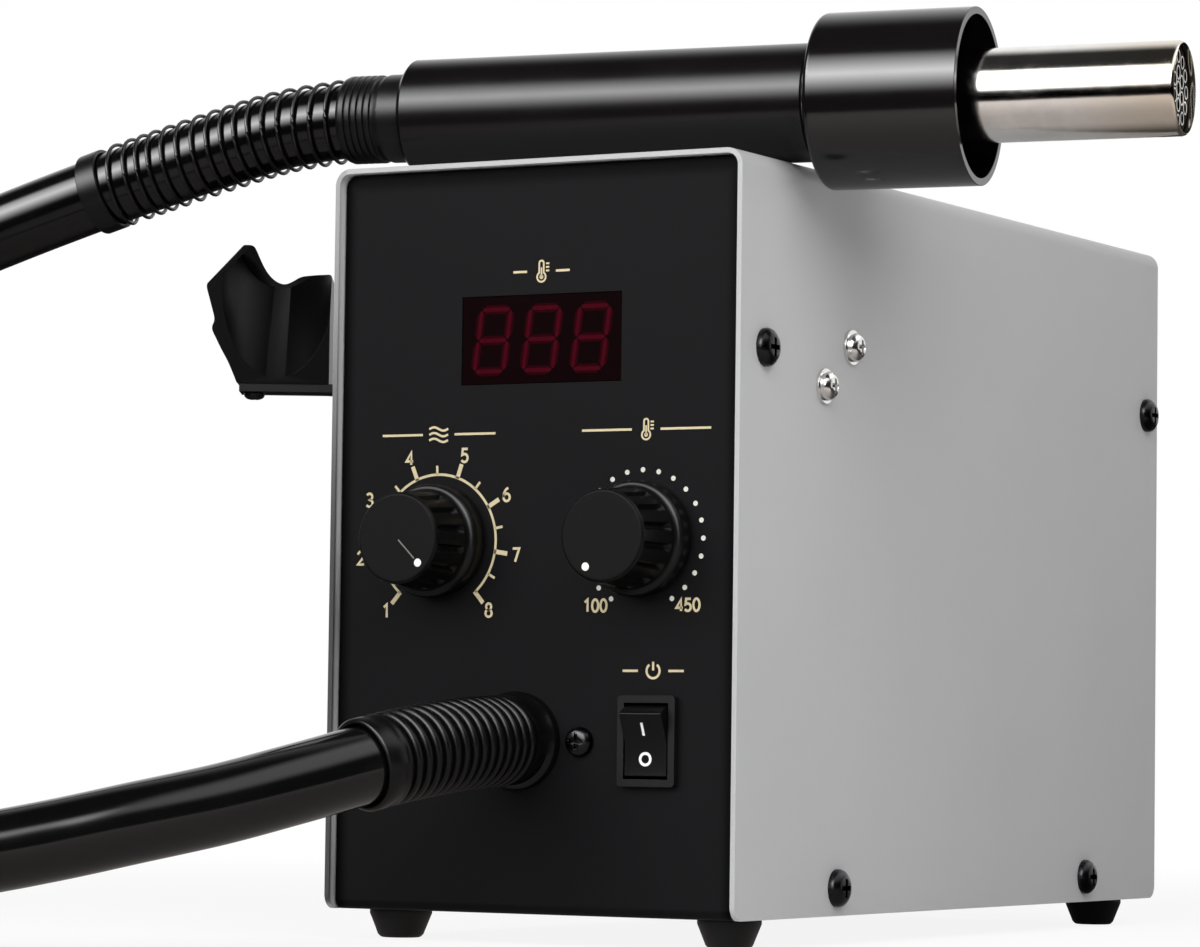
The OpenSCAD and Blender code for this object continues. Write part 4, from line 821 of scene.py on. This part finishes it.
class STATION_OT_panel_print(StationOperator):
    """Prints the dials' scales, numbers and signs on the front panel"""

    bl_idname = "station.panel_print"
    bl_label = "Panel print"

    def make(self):
        self.parts = []
        self.depths = (PANEL_Y - PRINT_HEIGHT, PANEL_Y + PRINT_SINK)
        self.air_scale(AIR_DIAL)
        self.signs()
        self.number("100", (16.5, 79.0), 0.9)
        self.number("450", (40.9, 79.1), 0.9)
        self.flush("panel_print", printed("dial_ink", finishes().print_ink), "station")
        self.temperature_dots(TEMP_DIAL)
        self.flush("panel_dots", printed("dot_ink", finishes().dot_ink), "station")

    def flush(self, name, material, body):
        verts, faces = [], []
        for v, f in self.parts:
            faces += [tuple(i + len(verts) for i in face) for face in f]
            verts += v
        new_piece(name, verts, faces, material, body, smooth=False)
        self.parts = []

    def ribbon(self, points, width=None, closed=False):
        """A flat printed line with mitred corners, in X and Z."""
        w = (width or sizes().print_stroke / MM) / 2
        p = [Vector(q) for q in points]
        n = len(p)
        left, right = [], []
        for i in range(n):
            a = p[i - 1] if (i or closed) else None
            b = p[(i + 1) % n] if (i < n - 1 or closed) else None
            d1 = (p[i] - a).normalized() if a is not None else (b - p[i]).normalized()
            d2 = (b - p[i]).normalized() if b is not None else d1
            t = (d1 + d2).normalized() if (d1 + d2).length > 0.1 else d1
            normal = Vector((-t.y, t.x))
            reach = w / max(0.5, abs(normal.dot(Vector((-d1.y, d1.x)))))
            left.append(p[i] + normal * reach)
            right.append(p[i] - normal * reach)
        verts = [(q.x, y, q.y) for y in self.depths for q in left + right]
        faces, m = [], 2 * n
        for i in range(n if closed else n - 1):
            j = (i + 1) % n
            faces += [
                (i, j, n + j, n + i), (m + i, i, j, m + j), (n + i, m + n + i, m + n + j, n + j)]
        if not closed:
            faces += [(0, n, m + n, m), (n - 1, m + n - 1, m + 2 * n - 1, 2 * n - 1)]
        self.parts.append((verts, faces))

    def disc(self, centre, r):
        sides = 20
        verts = [(centre[0] + r * cos(a), y, centre[1] + r * sin(a))
                 for y in self.depths for a in round_angles(sides)]
        self.parts.append((verts, grid_faces(2, sides)))

    def polar(self, centre, rx, rz, angle):
        a = radians(angle)
        return centre[0] + rx * cos(a), centre[1] + rz * sin(a)

    def arc(self, centre, rx, rz, start, end, steps):
        return [self.polar(centre, rx, rz, start + (end - start) * k / steps)
                for k in range(steps + 1)]

    def figure(self, digit):
        """Lines of a figure one unit high and 0.6 wide; each is (points, closed)."""
        arc = self.arc
        return {
            "0": [(arc((0.3, 0.5), 0.26, 0.46, 0, 345, 23), True)],
            "1": [([(0.12, 0.74), (0.36, 0.96), (0.36, 0.04)], False)],
            "2": [(arc((0.3, 0.7), 0.25, 0.26, 170, -35, 12)
                   + [(0.05, 0.05), (0.57, 0.05)], False)],
            "3": [(arc((0.28, 0.74), 0.23, 0.22, 150, -85, 12)
                   + arc((0.28, 0.28), 0.26, 0.24, 85, -150, 12), False)],
            "4": [([(0.43, 0.04), (0.43, 0.93), (0.04, 0.28), (0.58, 0.28)], False)],
            "5": [([(0.53, 0.95), (0.14, 0.95), (0.1, 0.54)]
                   + arc((0.28, 0.32), 0.26, 0.28, 115, -150, 12), False)],
            "6": [(arc((0.3, 0.3), 0.25, 0.26, 0, 345, 23), True),
                  (arc((0.5, 0.3), 0.45, 0.66, 180, 100, 8), False)],
            "7": [([(0.04, 0.95), (0.56, 0.95), (0.24, 0.04)], False)],
            "8": [(arc((0.3, 0.73), 0.2, 0.22, 0, 345, 23), True),
                  (arc((0.3, 0.27), 0.25, 0.24, 0, 345, 23), True)],
        }[digit]

    def number(self, text, centre, scale=1.0):
        h = sizes().print_height / MM * scale
        step = h * 0.72
        x0 = centre[0] - (len(text) * step - h * 0.12) / 2
        for i, digit in enumerate(text):
            for points, closed in self.figure(digit):
                self.ribbon([(x0 + i * step + x * h, centre[1] - h / 2 + z * h) for x, z in points],
                            closed=closed)

    def air_scale(self, centre):
        inner, tick, half, line, bold = 15.9, 3.4, 2.1, 0.6, 1.05
        angles = [229.5, 190, 152, 112, 71, 30.5, -9, -49]
        self.ribbon(self.arc(centre, inner, inner, angles[0], angles[-1], 72), line)
        for i, a in enumerate(angles):
            self.spoke(centre, inner - 0.2, inner + tick, a, bold)
            self.number(str(i + 1), self.polar(centre, inner + tick + 2.4, inner + tick + 2.2, a))
            if i:
                self.spoke(centre, inner, inner + half, (a + angles[i - 1]) / 2, line)

    def spoke(self, centre, inner, outer, angle, width):
        self.ribbon([self.polar(centre, r, r, angle) for r in (inner, outer)], width)

    def temperature_dots(self, centre):
        """21 dots, 15 degrees apart, clockwise from the low end."""
        ring, dot = 16, 0.6
        for k in range(21):
            self.disc(self.polar(centre, ring, ring, 240 - 15 * k), dot)

    def thermometer(self, x, z, h):
        bulb, stem = 0.23 * h, 0.12 * h
        top, base = z + h / 2, (x, z - h / 2 + bulb)
        join = degrees(asin(stem / bulb))
        outline = self.arc(base, bulb, bulb, 90 + join, 450 - join, 24)
        outline += self.arc((x, top - stem), stem, stem, 0, 180, 10)
        self.ribbon(outline, 0.42, closed=True)
        self.disc(base, bulb * 0.45)
        self.ribbon([base, (x, z + h * 0.18)], 0.4)
        for k in range(3):
            level = top - (0.14 + 0.17 * k) * h
            self.ribbon([(x + 0.24 * h, level), (x + 0.42 * h, level)], 0.4)

    def signs(self):
        """Signs in place of words: thermometer, air flow and power."""
        for x, z, h, reach in ((0.9, 157.6, 5.0, 7.6), (29.4, 119.8, 4.8, 17.0)):
            self.thermometer(x, z, h)
            self.rules(x, z, h, reach)
        x, z = -26.6, 119.7
        for k in (-1, 0, 1):
            self.ribbon([
                (x - 2.6 + 5.2 * i / 16, z + k * 1.35 + 0.42 * sin(i / 16 * 2 * pi))
                for i in range(17)], 0.52)
        self.rules(x, z, 6.0, 15.6)
        x, z = 32.0, 63.9
        self.ribbon(self.arc((x, z), 1.7, 1.7, 125, 415, 28), SIGN_STROKE)
        self.ribbon([(x, z + 0.1), (x, z + 2.1)], SIGN_STROKE)
        self.rules(x, z, 5.2, 8.0)

    def rules(self, x, z, gap, reach):
        """The lines on both sides of a sign."""
        for side in (-1, 1):
            self.ribbon([(x + side * (gap / 2 + 1.4), z), (x + side * reach, z)], SIGN_STROKE)


class STATION_OT_display(StationOperator):
    """Finishes the display window and lays its unlit figures in it"""

    bl_idname = "station.display"
    bl_label = "Display"

    def make(self):
        f = Finish("window_acrylic")
        clouds = f.noise(20)
        scratches = f.noise(1.2, detail=2, vector=f.stretched((1, 1, 0.08)))
        window = f.shade(
            colour=varied(f, finishes().window_tint, 0.25, clouds),
            roughness=0.16 + scratches * 0.06,
            gloss=0.012, normal=f.bump(scratches, 0.001))
        dress("display_window", window, edge=0.1)
        red = finishes().segment_tint
        segment = self.unlit("segment_red", red, 0.25, 0.9)
        dress("display_module", segment, edge=0)
        halo = self.unlit("segment_halo", [c * 0.38 for c in red], 0.3, 2)
        self.figures("display_halo", halo, 2.2, 0.006)
        self.figures("display_figures", segment, 0.95, 0.02)

    def unlit(self, name, colour, amount, size):
        """Tinted plastic of the unlit bars."""
        f = Finish(name)
        grain = f.noise(size)
        return f.shade(
            colour=varied(f, colour, amount, grain), roughness=0.3, gloss=0.01,
            normal=f.bump(grain, 0.003))

    def figures(self, name, material, bar, raised):
        """Three figures, each of seven slanted bars with pointed ends."""
        y = low("display_window").y / MM - raised
        centre = middle("display_window") / MM
        h, wide, pitch, slant = 14.6, 7.9, 13.3, 0.13
        bars = [(0, k * h / 2, wide, False) for k in (1, 0, -1)]
        bars += [(j * wide / 2, k * h / 4, h / 2, True) for k in (1, -1) for j in (-1, 1)]
        verts, faces = [], []
        for i in (-1, 0, 1):
            for cx, cz, length, upright in bars:
                half = length / 2 - 0.2
                outline = [
                    (-half, 0), (-half + bar / 2, bar / 2), (half - bar / 2, bar / 2), (half, 0),
                    (half - bar / 2, -bar / 2), (-half + bar / 2, -bar / 2)]
                start = len(verts)
                for depth in (0, raised + 0.02):
                    for a, b in outline:
                        u, w = (cx - b, cz + a) if upright else (cx + a, cz + b)
                        x = centre.x + i * pitch + u + slant * w
                        verts.append((x, y + depth, centre.z + w))
                faces += grid_faces(2, 6, start)
        new_piece(name, verts, faces, material, "station", smooth=False)


class STATION_OT_knobs(StationOperator):
    """Makes the two fluted knobs with their marks"""

    bl_idname = "station.knobs"
    bl_label = "Knobs"

    def make(self):
        plastic = [c * 0.6 for c in finishes().black_plastic]
        ink = printed("knob_ink", [0.9, 0.9, 0.86])
        line = printed("knob_line", [c * 0.2 for c in finishes().dot_ink])
        for name, body, mark, top in (
                ("air_knob", "air_dial", -45, 17.9), ("temp_knob", "temp_dial", 240, 18.7)):
            centre, back = middle(name) / MM, high(name).y / MM
            at = Matrix.Translation((centre.x, back, centre.z)) @ Matrix.Rotation(pi / 2, 4, "X")
            face = high(name).y - top * MM
            form = moulded(
                name + "_plastic", plastic, 0.45, gloss=0.06,
                coat=lambda f: f.parts(f.place())[1].step(face + 0.0001, face + 0.0005) * 0.35)
            self.knob(name, body, at, form, top)
            self.mark(name, body, at, mark, ink, line, top)
            steel = metal(name + "_shaft_steel", (0.6, 0.6, 0.6), 0.3)
            dress(name.replace("knob", "shaft"), steel)

    def knob(self, name, body, at, material, top):
        flutes = sizes().knob_flutes
        profile = fillet([
            (5.6, 0.0), (13.2, 0.0), (13.5, 0.9), (13.4, 3.9), (13.0, 4.7), (11.9, 5.1),
            (11.7, 6.4), (10.75, top - 0.5), (10.3, top), (9.7, top)], 0.5)
        profile += [Vector((0.05, top))]

        def fluted(r, z, a):
            low_end, high_end = 6.6, top - 1.5
            if not low_end < z < high_end:
                return r
            depth = 1.2 * min(1, (z - low_end) / 0.5, (high_end - z) / 0.4)
            groove = max(0, -cos(flutes * a) - 0.35) / 0.65
            return r - depth * min(1, groove * 1.6)

        finer = [profile[0]]
        for p in profile[1:]:
            n = max(1, int((p - finer[-1]).length / 0.9))
            before = finer[-1]
            finer += [before + (p - before) * (k + 1) / n for k in range(n)]
        verts, faces = lathe(finer, flutes * 14, at, fluted)
        knob = new_piece(name + "_form", verts, faces, material, body, sharp=42)
        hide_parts(name)

    def mark(self, name, body, at, mark, ink, line, top):
        """A dot near the knob's rim, and the air knob's line."""
        turn = at @ Matrix.Rotation(radians(mark), 4, "Z")
        dot = Matrix.Translation((8.2, 0, 0))
        profile = [
            (0.02, top - 0.15), (0.95, top - 0.15), (0.95, top + 0.05), (0.8, top + 0.08),
            (0.02, top + 0.08)]
        verts, faces = lathe(profile, 28, turn @ dot)
        new_piece(name + "_dot", verts, faces, ink, body)
        if name == "air_knob":
            outline = ((0.6, -0.16), (6.8, -0.16), (6.8, 0.16), (0.6, 0.16))
            verts = [turn @ Vector((x, y, z)) for z in (top + 0.03, top - 0.15) for x, y in outline]
            faces = grid_faces(2, 4)
            new_piece(name + "_line", verts, faces, line, body, smooth=False)


class STATION_OT_switch(StationOperator):
    """Finishes the power switch and prints the marks on its rocker"""

    bl_idname = "station.switch"
    bl_label = "Switch"

    def make(self):
        black = finishes().black_plastic
        housing = moulded("switch_plastic", black, 0.42, gloss=0.12)
        rocker = moulded("rocker_plastic", [c * 0.6 for c in black], 0.3, depth=0.003, gloss=0.16)
        dress("switch_housing", housing, edge=0.3, segments=3)
        dress("rocker", rocker, edge=0.4, segments=3)
        dress("switch_terminals", metal("terminal_brass", (0.7, 0.52, 0.25), 0.35))
        self.marks(printed("switch_ink", finishes().switch_ink))

    def marks(self, ink):
        """A bar on the rocker's upper half and a ring on its lower half."""
        rest = Matrix.Translation(ROCKER_PIVOT) @ Matrix.Rotation(ROCKER_TILT, 4, "X")
        rest = rest @ Matrix.Translation((0, -ROCKER_FACE, 0))
        sides = 40
        bar = [(x, y, z) for y in (-0.05, 0.1)
               for x, z in ((-0.32, -1.6), (0.32, -1.6), (0.32, 1.6), (-0.32, 1.6))]
        ring = [(r * cos(a), y, r * sin(a))
                for r, y in ((1.0, 0.1), (1.0, -0.05), (1.65, -0.05), (1.65, 0.1))
                for a in round_angles(sides)]
        around = [tuple(i % len(ring) for i in face)
                  for face in grid_faces(5, sides, caps=(False, False))]
        for name, side, points, faces in (
                ("rocker_one", 1, bar, grid_faces(2, 4)), ("rocker_ring", -1, ring, around)):
            at = rest @ Matrix.Rotation(ROCKER_TILT * side, 4, "X")
            at = at @ Matrix.Translation((0, 0, side * 3.6))
            verts = [at @ Vector(p) for p in points]
            new_piece(name, verts, faces, ink, "power_rocker", smooth=False)


class STATION_OT_handset(StationOperator):
    """Finishes the handle, the guard collar, the heater pipe and its core"""

    bl_idname = "station.handset"
    bl_label = "Handset"

    def make(self):
        plastic = finishes().handle_plastic
        handle = moulded("handle_plastic", plastic, 0.2, depth=0.001, gloss=0.3)
        collar = moulded("collar_plastic", plastic, 0.12, depth=0.001)
        dress("handle", handle, edge=0.3, segments=3)
        dress("guard_collar", collar, edge=0.4, segments=3)
        dress("heater_pipe", self.polished_steel(), edge=0.2, segments=3)
        dress("pipe_screws", metal("pipe_screw_steel", (0.6, 0.6, 0.6), 0.3), edge=0.1)
        dress("pipe_flange", metal("flange_steel", (0.35, 0.34, 0.33), 0.35), edge=0.1)
        dress("heater_core", self.sooty(), edge=0.1)
        self.core_rims()
        dress("mica_sleeve", moulded("mica", (0.42, 0.33, 0.22), 0.5), edge=0)
        dress("terminal_block", moulded("block_ceramic", (0.7, 0.66, 0.58), 0.6))

    def along_axis(self, f):
        """Distance along the handset in metres, from the handle's rear end."""
        start = on_handset(0) * MM
        offset = f.vector("SUBTRACT", f.place(), start)
        return f.vector("DOT_PRODUCT", offset, HANDSET_DIR, output="Value")

    def polished_steel(self):
        f = Finish("heater_pipe_steel")
        t = self.along_axis(f)
        streaks = f.noise(0.8, vector=f.stretched((0.06, 0.3, 1)))
        wave = f.noise(7)
        stain = f.noise(5, detail=5)
        heat = (t + (stain - 0.5) * 0.012).step(0.162, 0.187)
        steel, straw = finishes().steel, (0.62, 0.52, 0.38)
        tone = varied(f, steel, 0.22, stain * 0.8 + streaks * 0.2)
        return f.shade(
            colour=f.mix(heat * 0.55, tone, straw), metallic=1.0,
            roughness=0.08 + streaks * 0.07 + stain.step(0.45, 0.75) * 0.05,
            normal=f.bump(wave + streaks * 0.03, 0.03))

    def sooty(self):
        """Ceramic blackened by heat, paler where the soot is thin."""
        f = Finish("core_soot")
        grain = f.noise(0.6, detail=4)
        bare = f.noise(3).step(0.5, 0.8)
        return f.shade(
            colour=f.mix(bare, (0.004, 0.0036, 0.0033), (0.02, 0.018, 0.016)), gloss=0.02,
            roughness=0.5 + grain * 0.2, normal=f.bump(grain, 0.01))

    def core_rims(self):
        """Bare rims round the core's channels, which stand a little out of its sooty face."""
        f = Finish("bare_ceramic")
        speck = f.noise(0.4)
        material = f.shade(
            colour=f.mix(speck, (0.50, 0.49, 0.46), (0.70, 0.68, 0.65)), gloss=0.5,
            roughness=0.25 + speck * 0.1, normal=f.bump(speck, 0.005))
        up = Vector((0, 0, 1))
        side = up.cross(HANDSET_DIR)
        turn = Matrix((side, up, HANDSET_DIR)).transposed().to_4x4()
        verts, faces = [], []
        for ring in range(3):
            hole = 1.45 - 0.1 * ring
            profile = [
                (hole, -0.02), (hole, 0.02), (hole + 0.06, 0.06), (hole + 0.28, 0.06),
                (hole + 0.34, 0.02), (hole + 0.34, -0.3)]
            for i in range(max(1, 6 * ring)):
                a = radians(i * 60 / max(1, ring))
                at = on_handset(CORE_FACE) + CORE_RING * ring * (sin(a) * side - cos(a) * up)
                at = Matrix.Translation(at) @ turn
                rim, sheet = lathe(profile, 28, at, start=len(verts), caps=(False, False))
                verts += rim
                faces += sheet
        new_piece("core_rims", verts, faces, material, "handset")


class STATION_OT_holder(StationOperator):
    """Finishes the handset's holder"""

    bl_idname = "station.holder"
    bl_label = "Holder"

    def make(self):
        cradle = moulded("cradle_plastic", (0.0018, 0.0018, 0.0018), 0.36, depth=0.02, gloss=0.06)
        bracket = powder_paint("bracket_paint", (0.005, 0.005, 0.005), 0.45, gloss=0.2)
        dress("holder_cradle", cradle, edge=0.7, segments=3)
        dress("holder_bracket", bracket, edge=0.3)


class STATION_OT_inside(StationOperator):
    """Finishes what is inside the case and on its rear panel"""

    bl_idname = "station.inside"
    bl_label = "Inside and rear"

    def make(self):
        black = finishes().black_plastic
        green = moulded("board_lacquer", (0.02, 0.13, 0.05), 0.3)
        steel = metal("inner_steel", (0.5, 0.5, 0.52), 0.4)
        brass = metal("standoff_brass", (0.7, 0.52, 0.25), 0.35)
        winding = moulded("winding_tape", (0.45, 0.2, 0.03), 0.45, grain=1.5, depth=0.05)
        for names, material in (
                (("control_board", "power_board"), green),
                (("air_control", "temp_control", "pump_base", "inlet_screws"), steel),
                (("board_standoffs",), brass),
                (("pump_coil", "transformer"), winding)):
            for name in names:
                dress(name, material, edge=0.2)
        dress("inlet_pins", metal("pin_nickel", (0.7, 0.68, 0.62), 0.3), edge=0.3)
        sheets = metal("core_sheets", (0.3, 0.3, 0.32), 0.5, lines=(1, 0.05, 1), depth=0.02)
        dress("pump_core", sheets)
        dress("heat_sink", metal("fin_aluminium", (0.7, 0.7, 0.72), 0.42, lines=(1, 1, 0.05)))
        dress("pump_tube", soft_rubber("tube_silicone", (0.5, 0.5, 0.48)))
        dress("pump_mounts", soft_rubber("mount_rubber", finishes().rubber))
        dress("pump_chambers", moulded("chamber_plastic", (0.03, 0.03, 0.035), 0.45))
        dress("hose_fitting", moulded("fitting_plastic", black, 0.45))
        inlet = moulded("inlet_plastic", black, 0.4, depth=0.01)
        dress("mains_inlet", inlet, edge=0.4, segments=3)
        dress("fuse_holder", moulded("fuse_plastic", black, 0.38), edge=0.3, segments=3)


class STATION_PT_pieces(bpy.types.Panel):
    """Lists the station's pieces, sizes and colours in the sidebar"""

    bl_label = "Hot air rework station"
    bl_idname = "STATION_PT_pieces"
    bl_space_type = "VIEW_3D"
    bl_region_type = "UI"
    bl_category = "Station"

    def draw(self, context):
        for operator in OPERATORS:
            self.layout.operator(operator.bl_idname)
        for name in GROUPS:
            group, box = getattr(context.scene, name), self.layout.box()
            for setting in group.__annotations__:
                box.prop(group, setting)


OPERATORS = (
    STATION_OT_stage, STATION_OT_hose, STATION_OT_case, STATION_OT_panel_print, STATION_OT_display,
    STATION_OT_knobs, STATION_OT_switch, STATION_OT_handset, STATION_OT_holder, STATION_OT_inside,
)
GROUPS = {
    "station_sizes": StationSizes, "station_finishes": StationFinishes,
    "station_stage": StationStage,
}
CLASSES = (*GROUPS.values(), *OPERATORS, STATION_PT_pieces)


def register():
    for cls in CLASSES:
        bpy.utils.register_class(cls)
    for name, group in GROUPS.items():
        setattr(bpy.types.Scene, name, PointerProperty(type=group))


def unregister():
    for name in GROUPS:
        delattr(bpy.types.Scene, name)
    for cls in reversed(CLASSES):
        bpy.utils.unregister_class(cls)


def main():
    register()
    for operator in OPERATORS:
        group, name = operator.bl_idname.split(".")
        getattr(getattr(bpy.ops, group), name)()
    plain = lambda box: [[float(x) for x in corner] for corner in box]
    {"cad": plain(CAD_BOX), "visual": plain(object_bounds())}


if __name__ == "__main__":
    main()
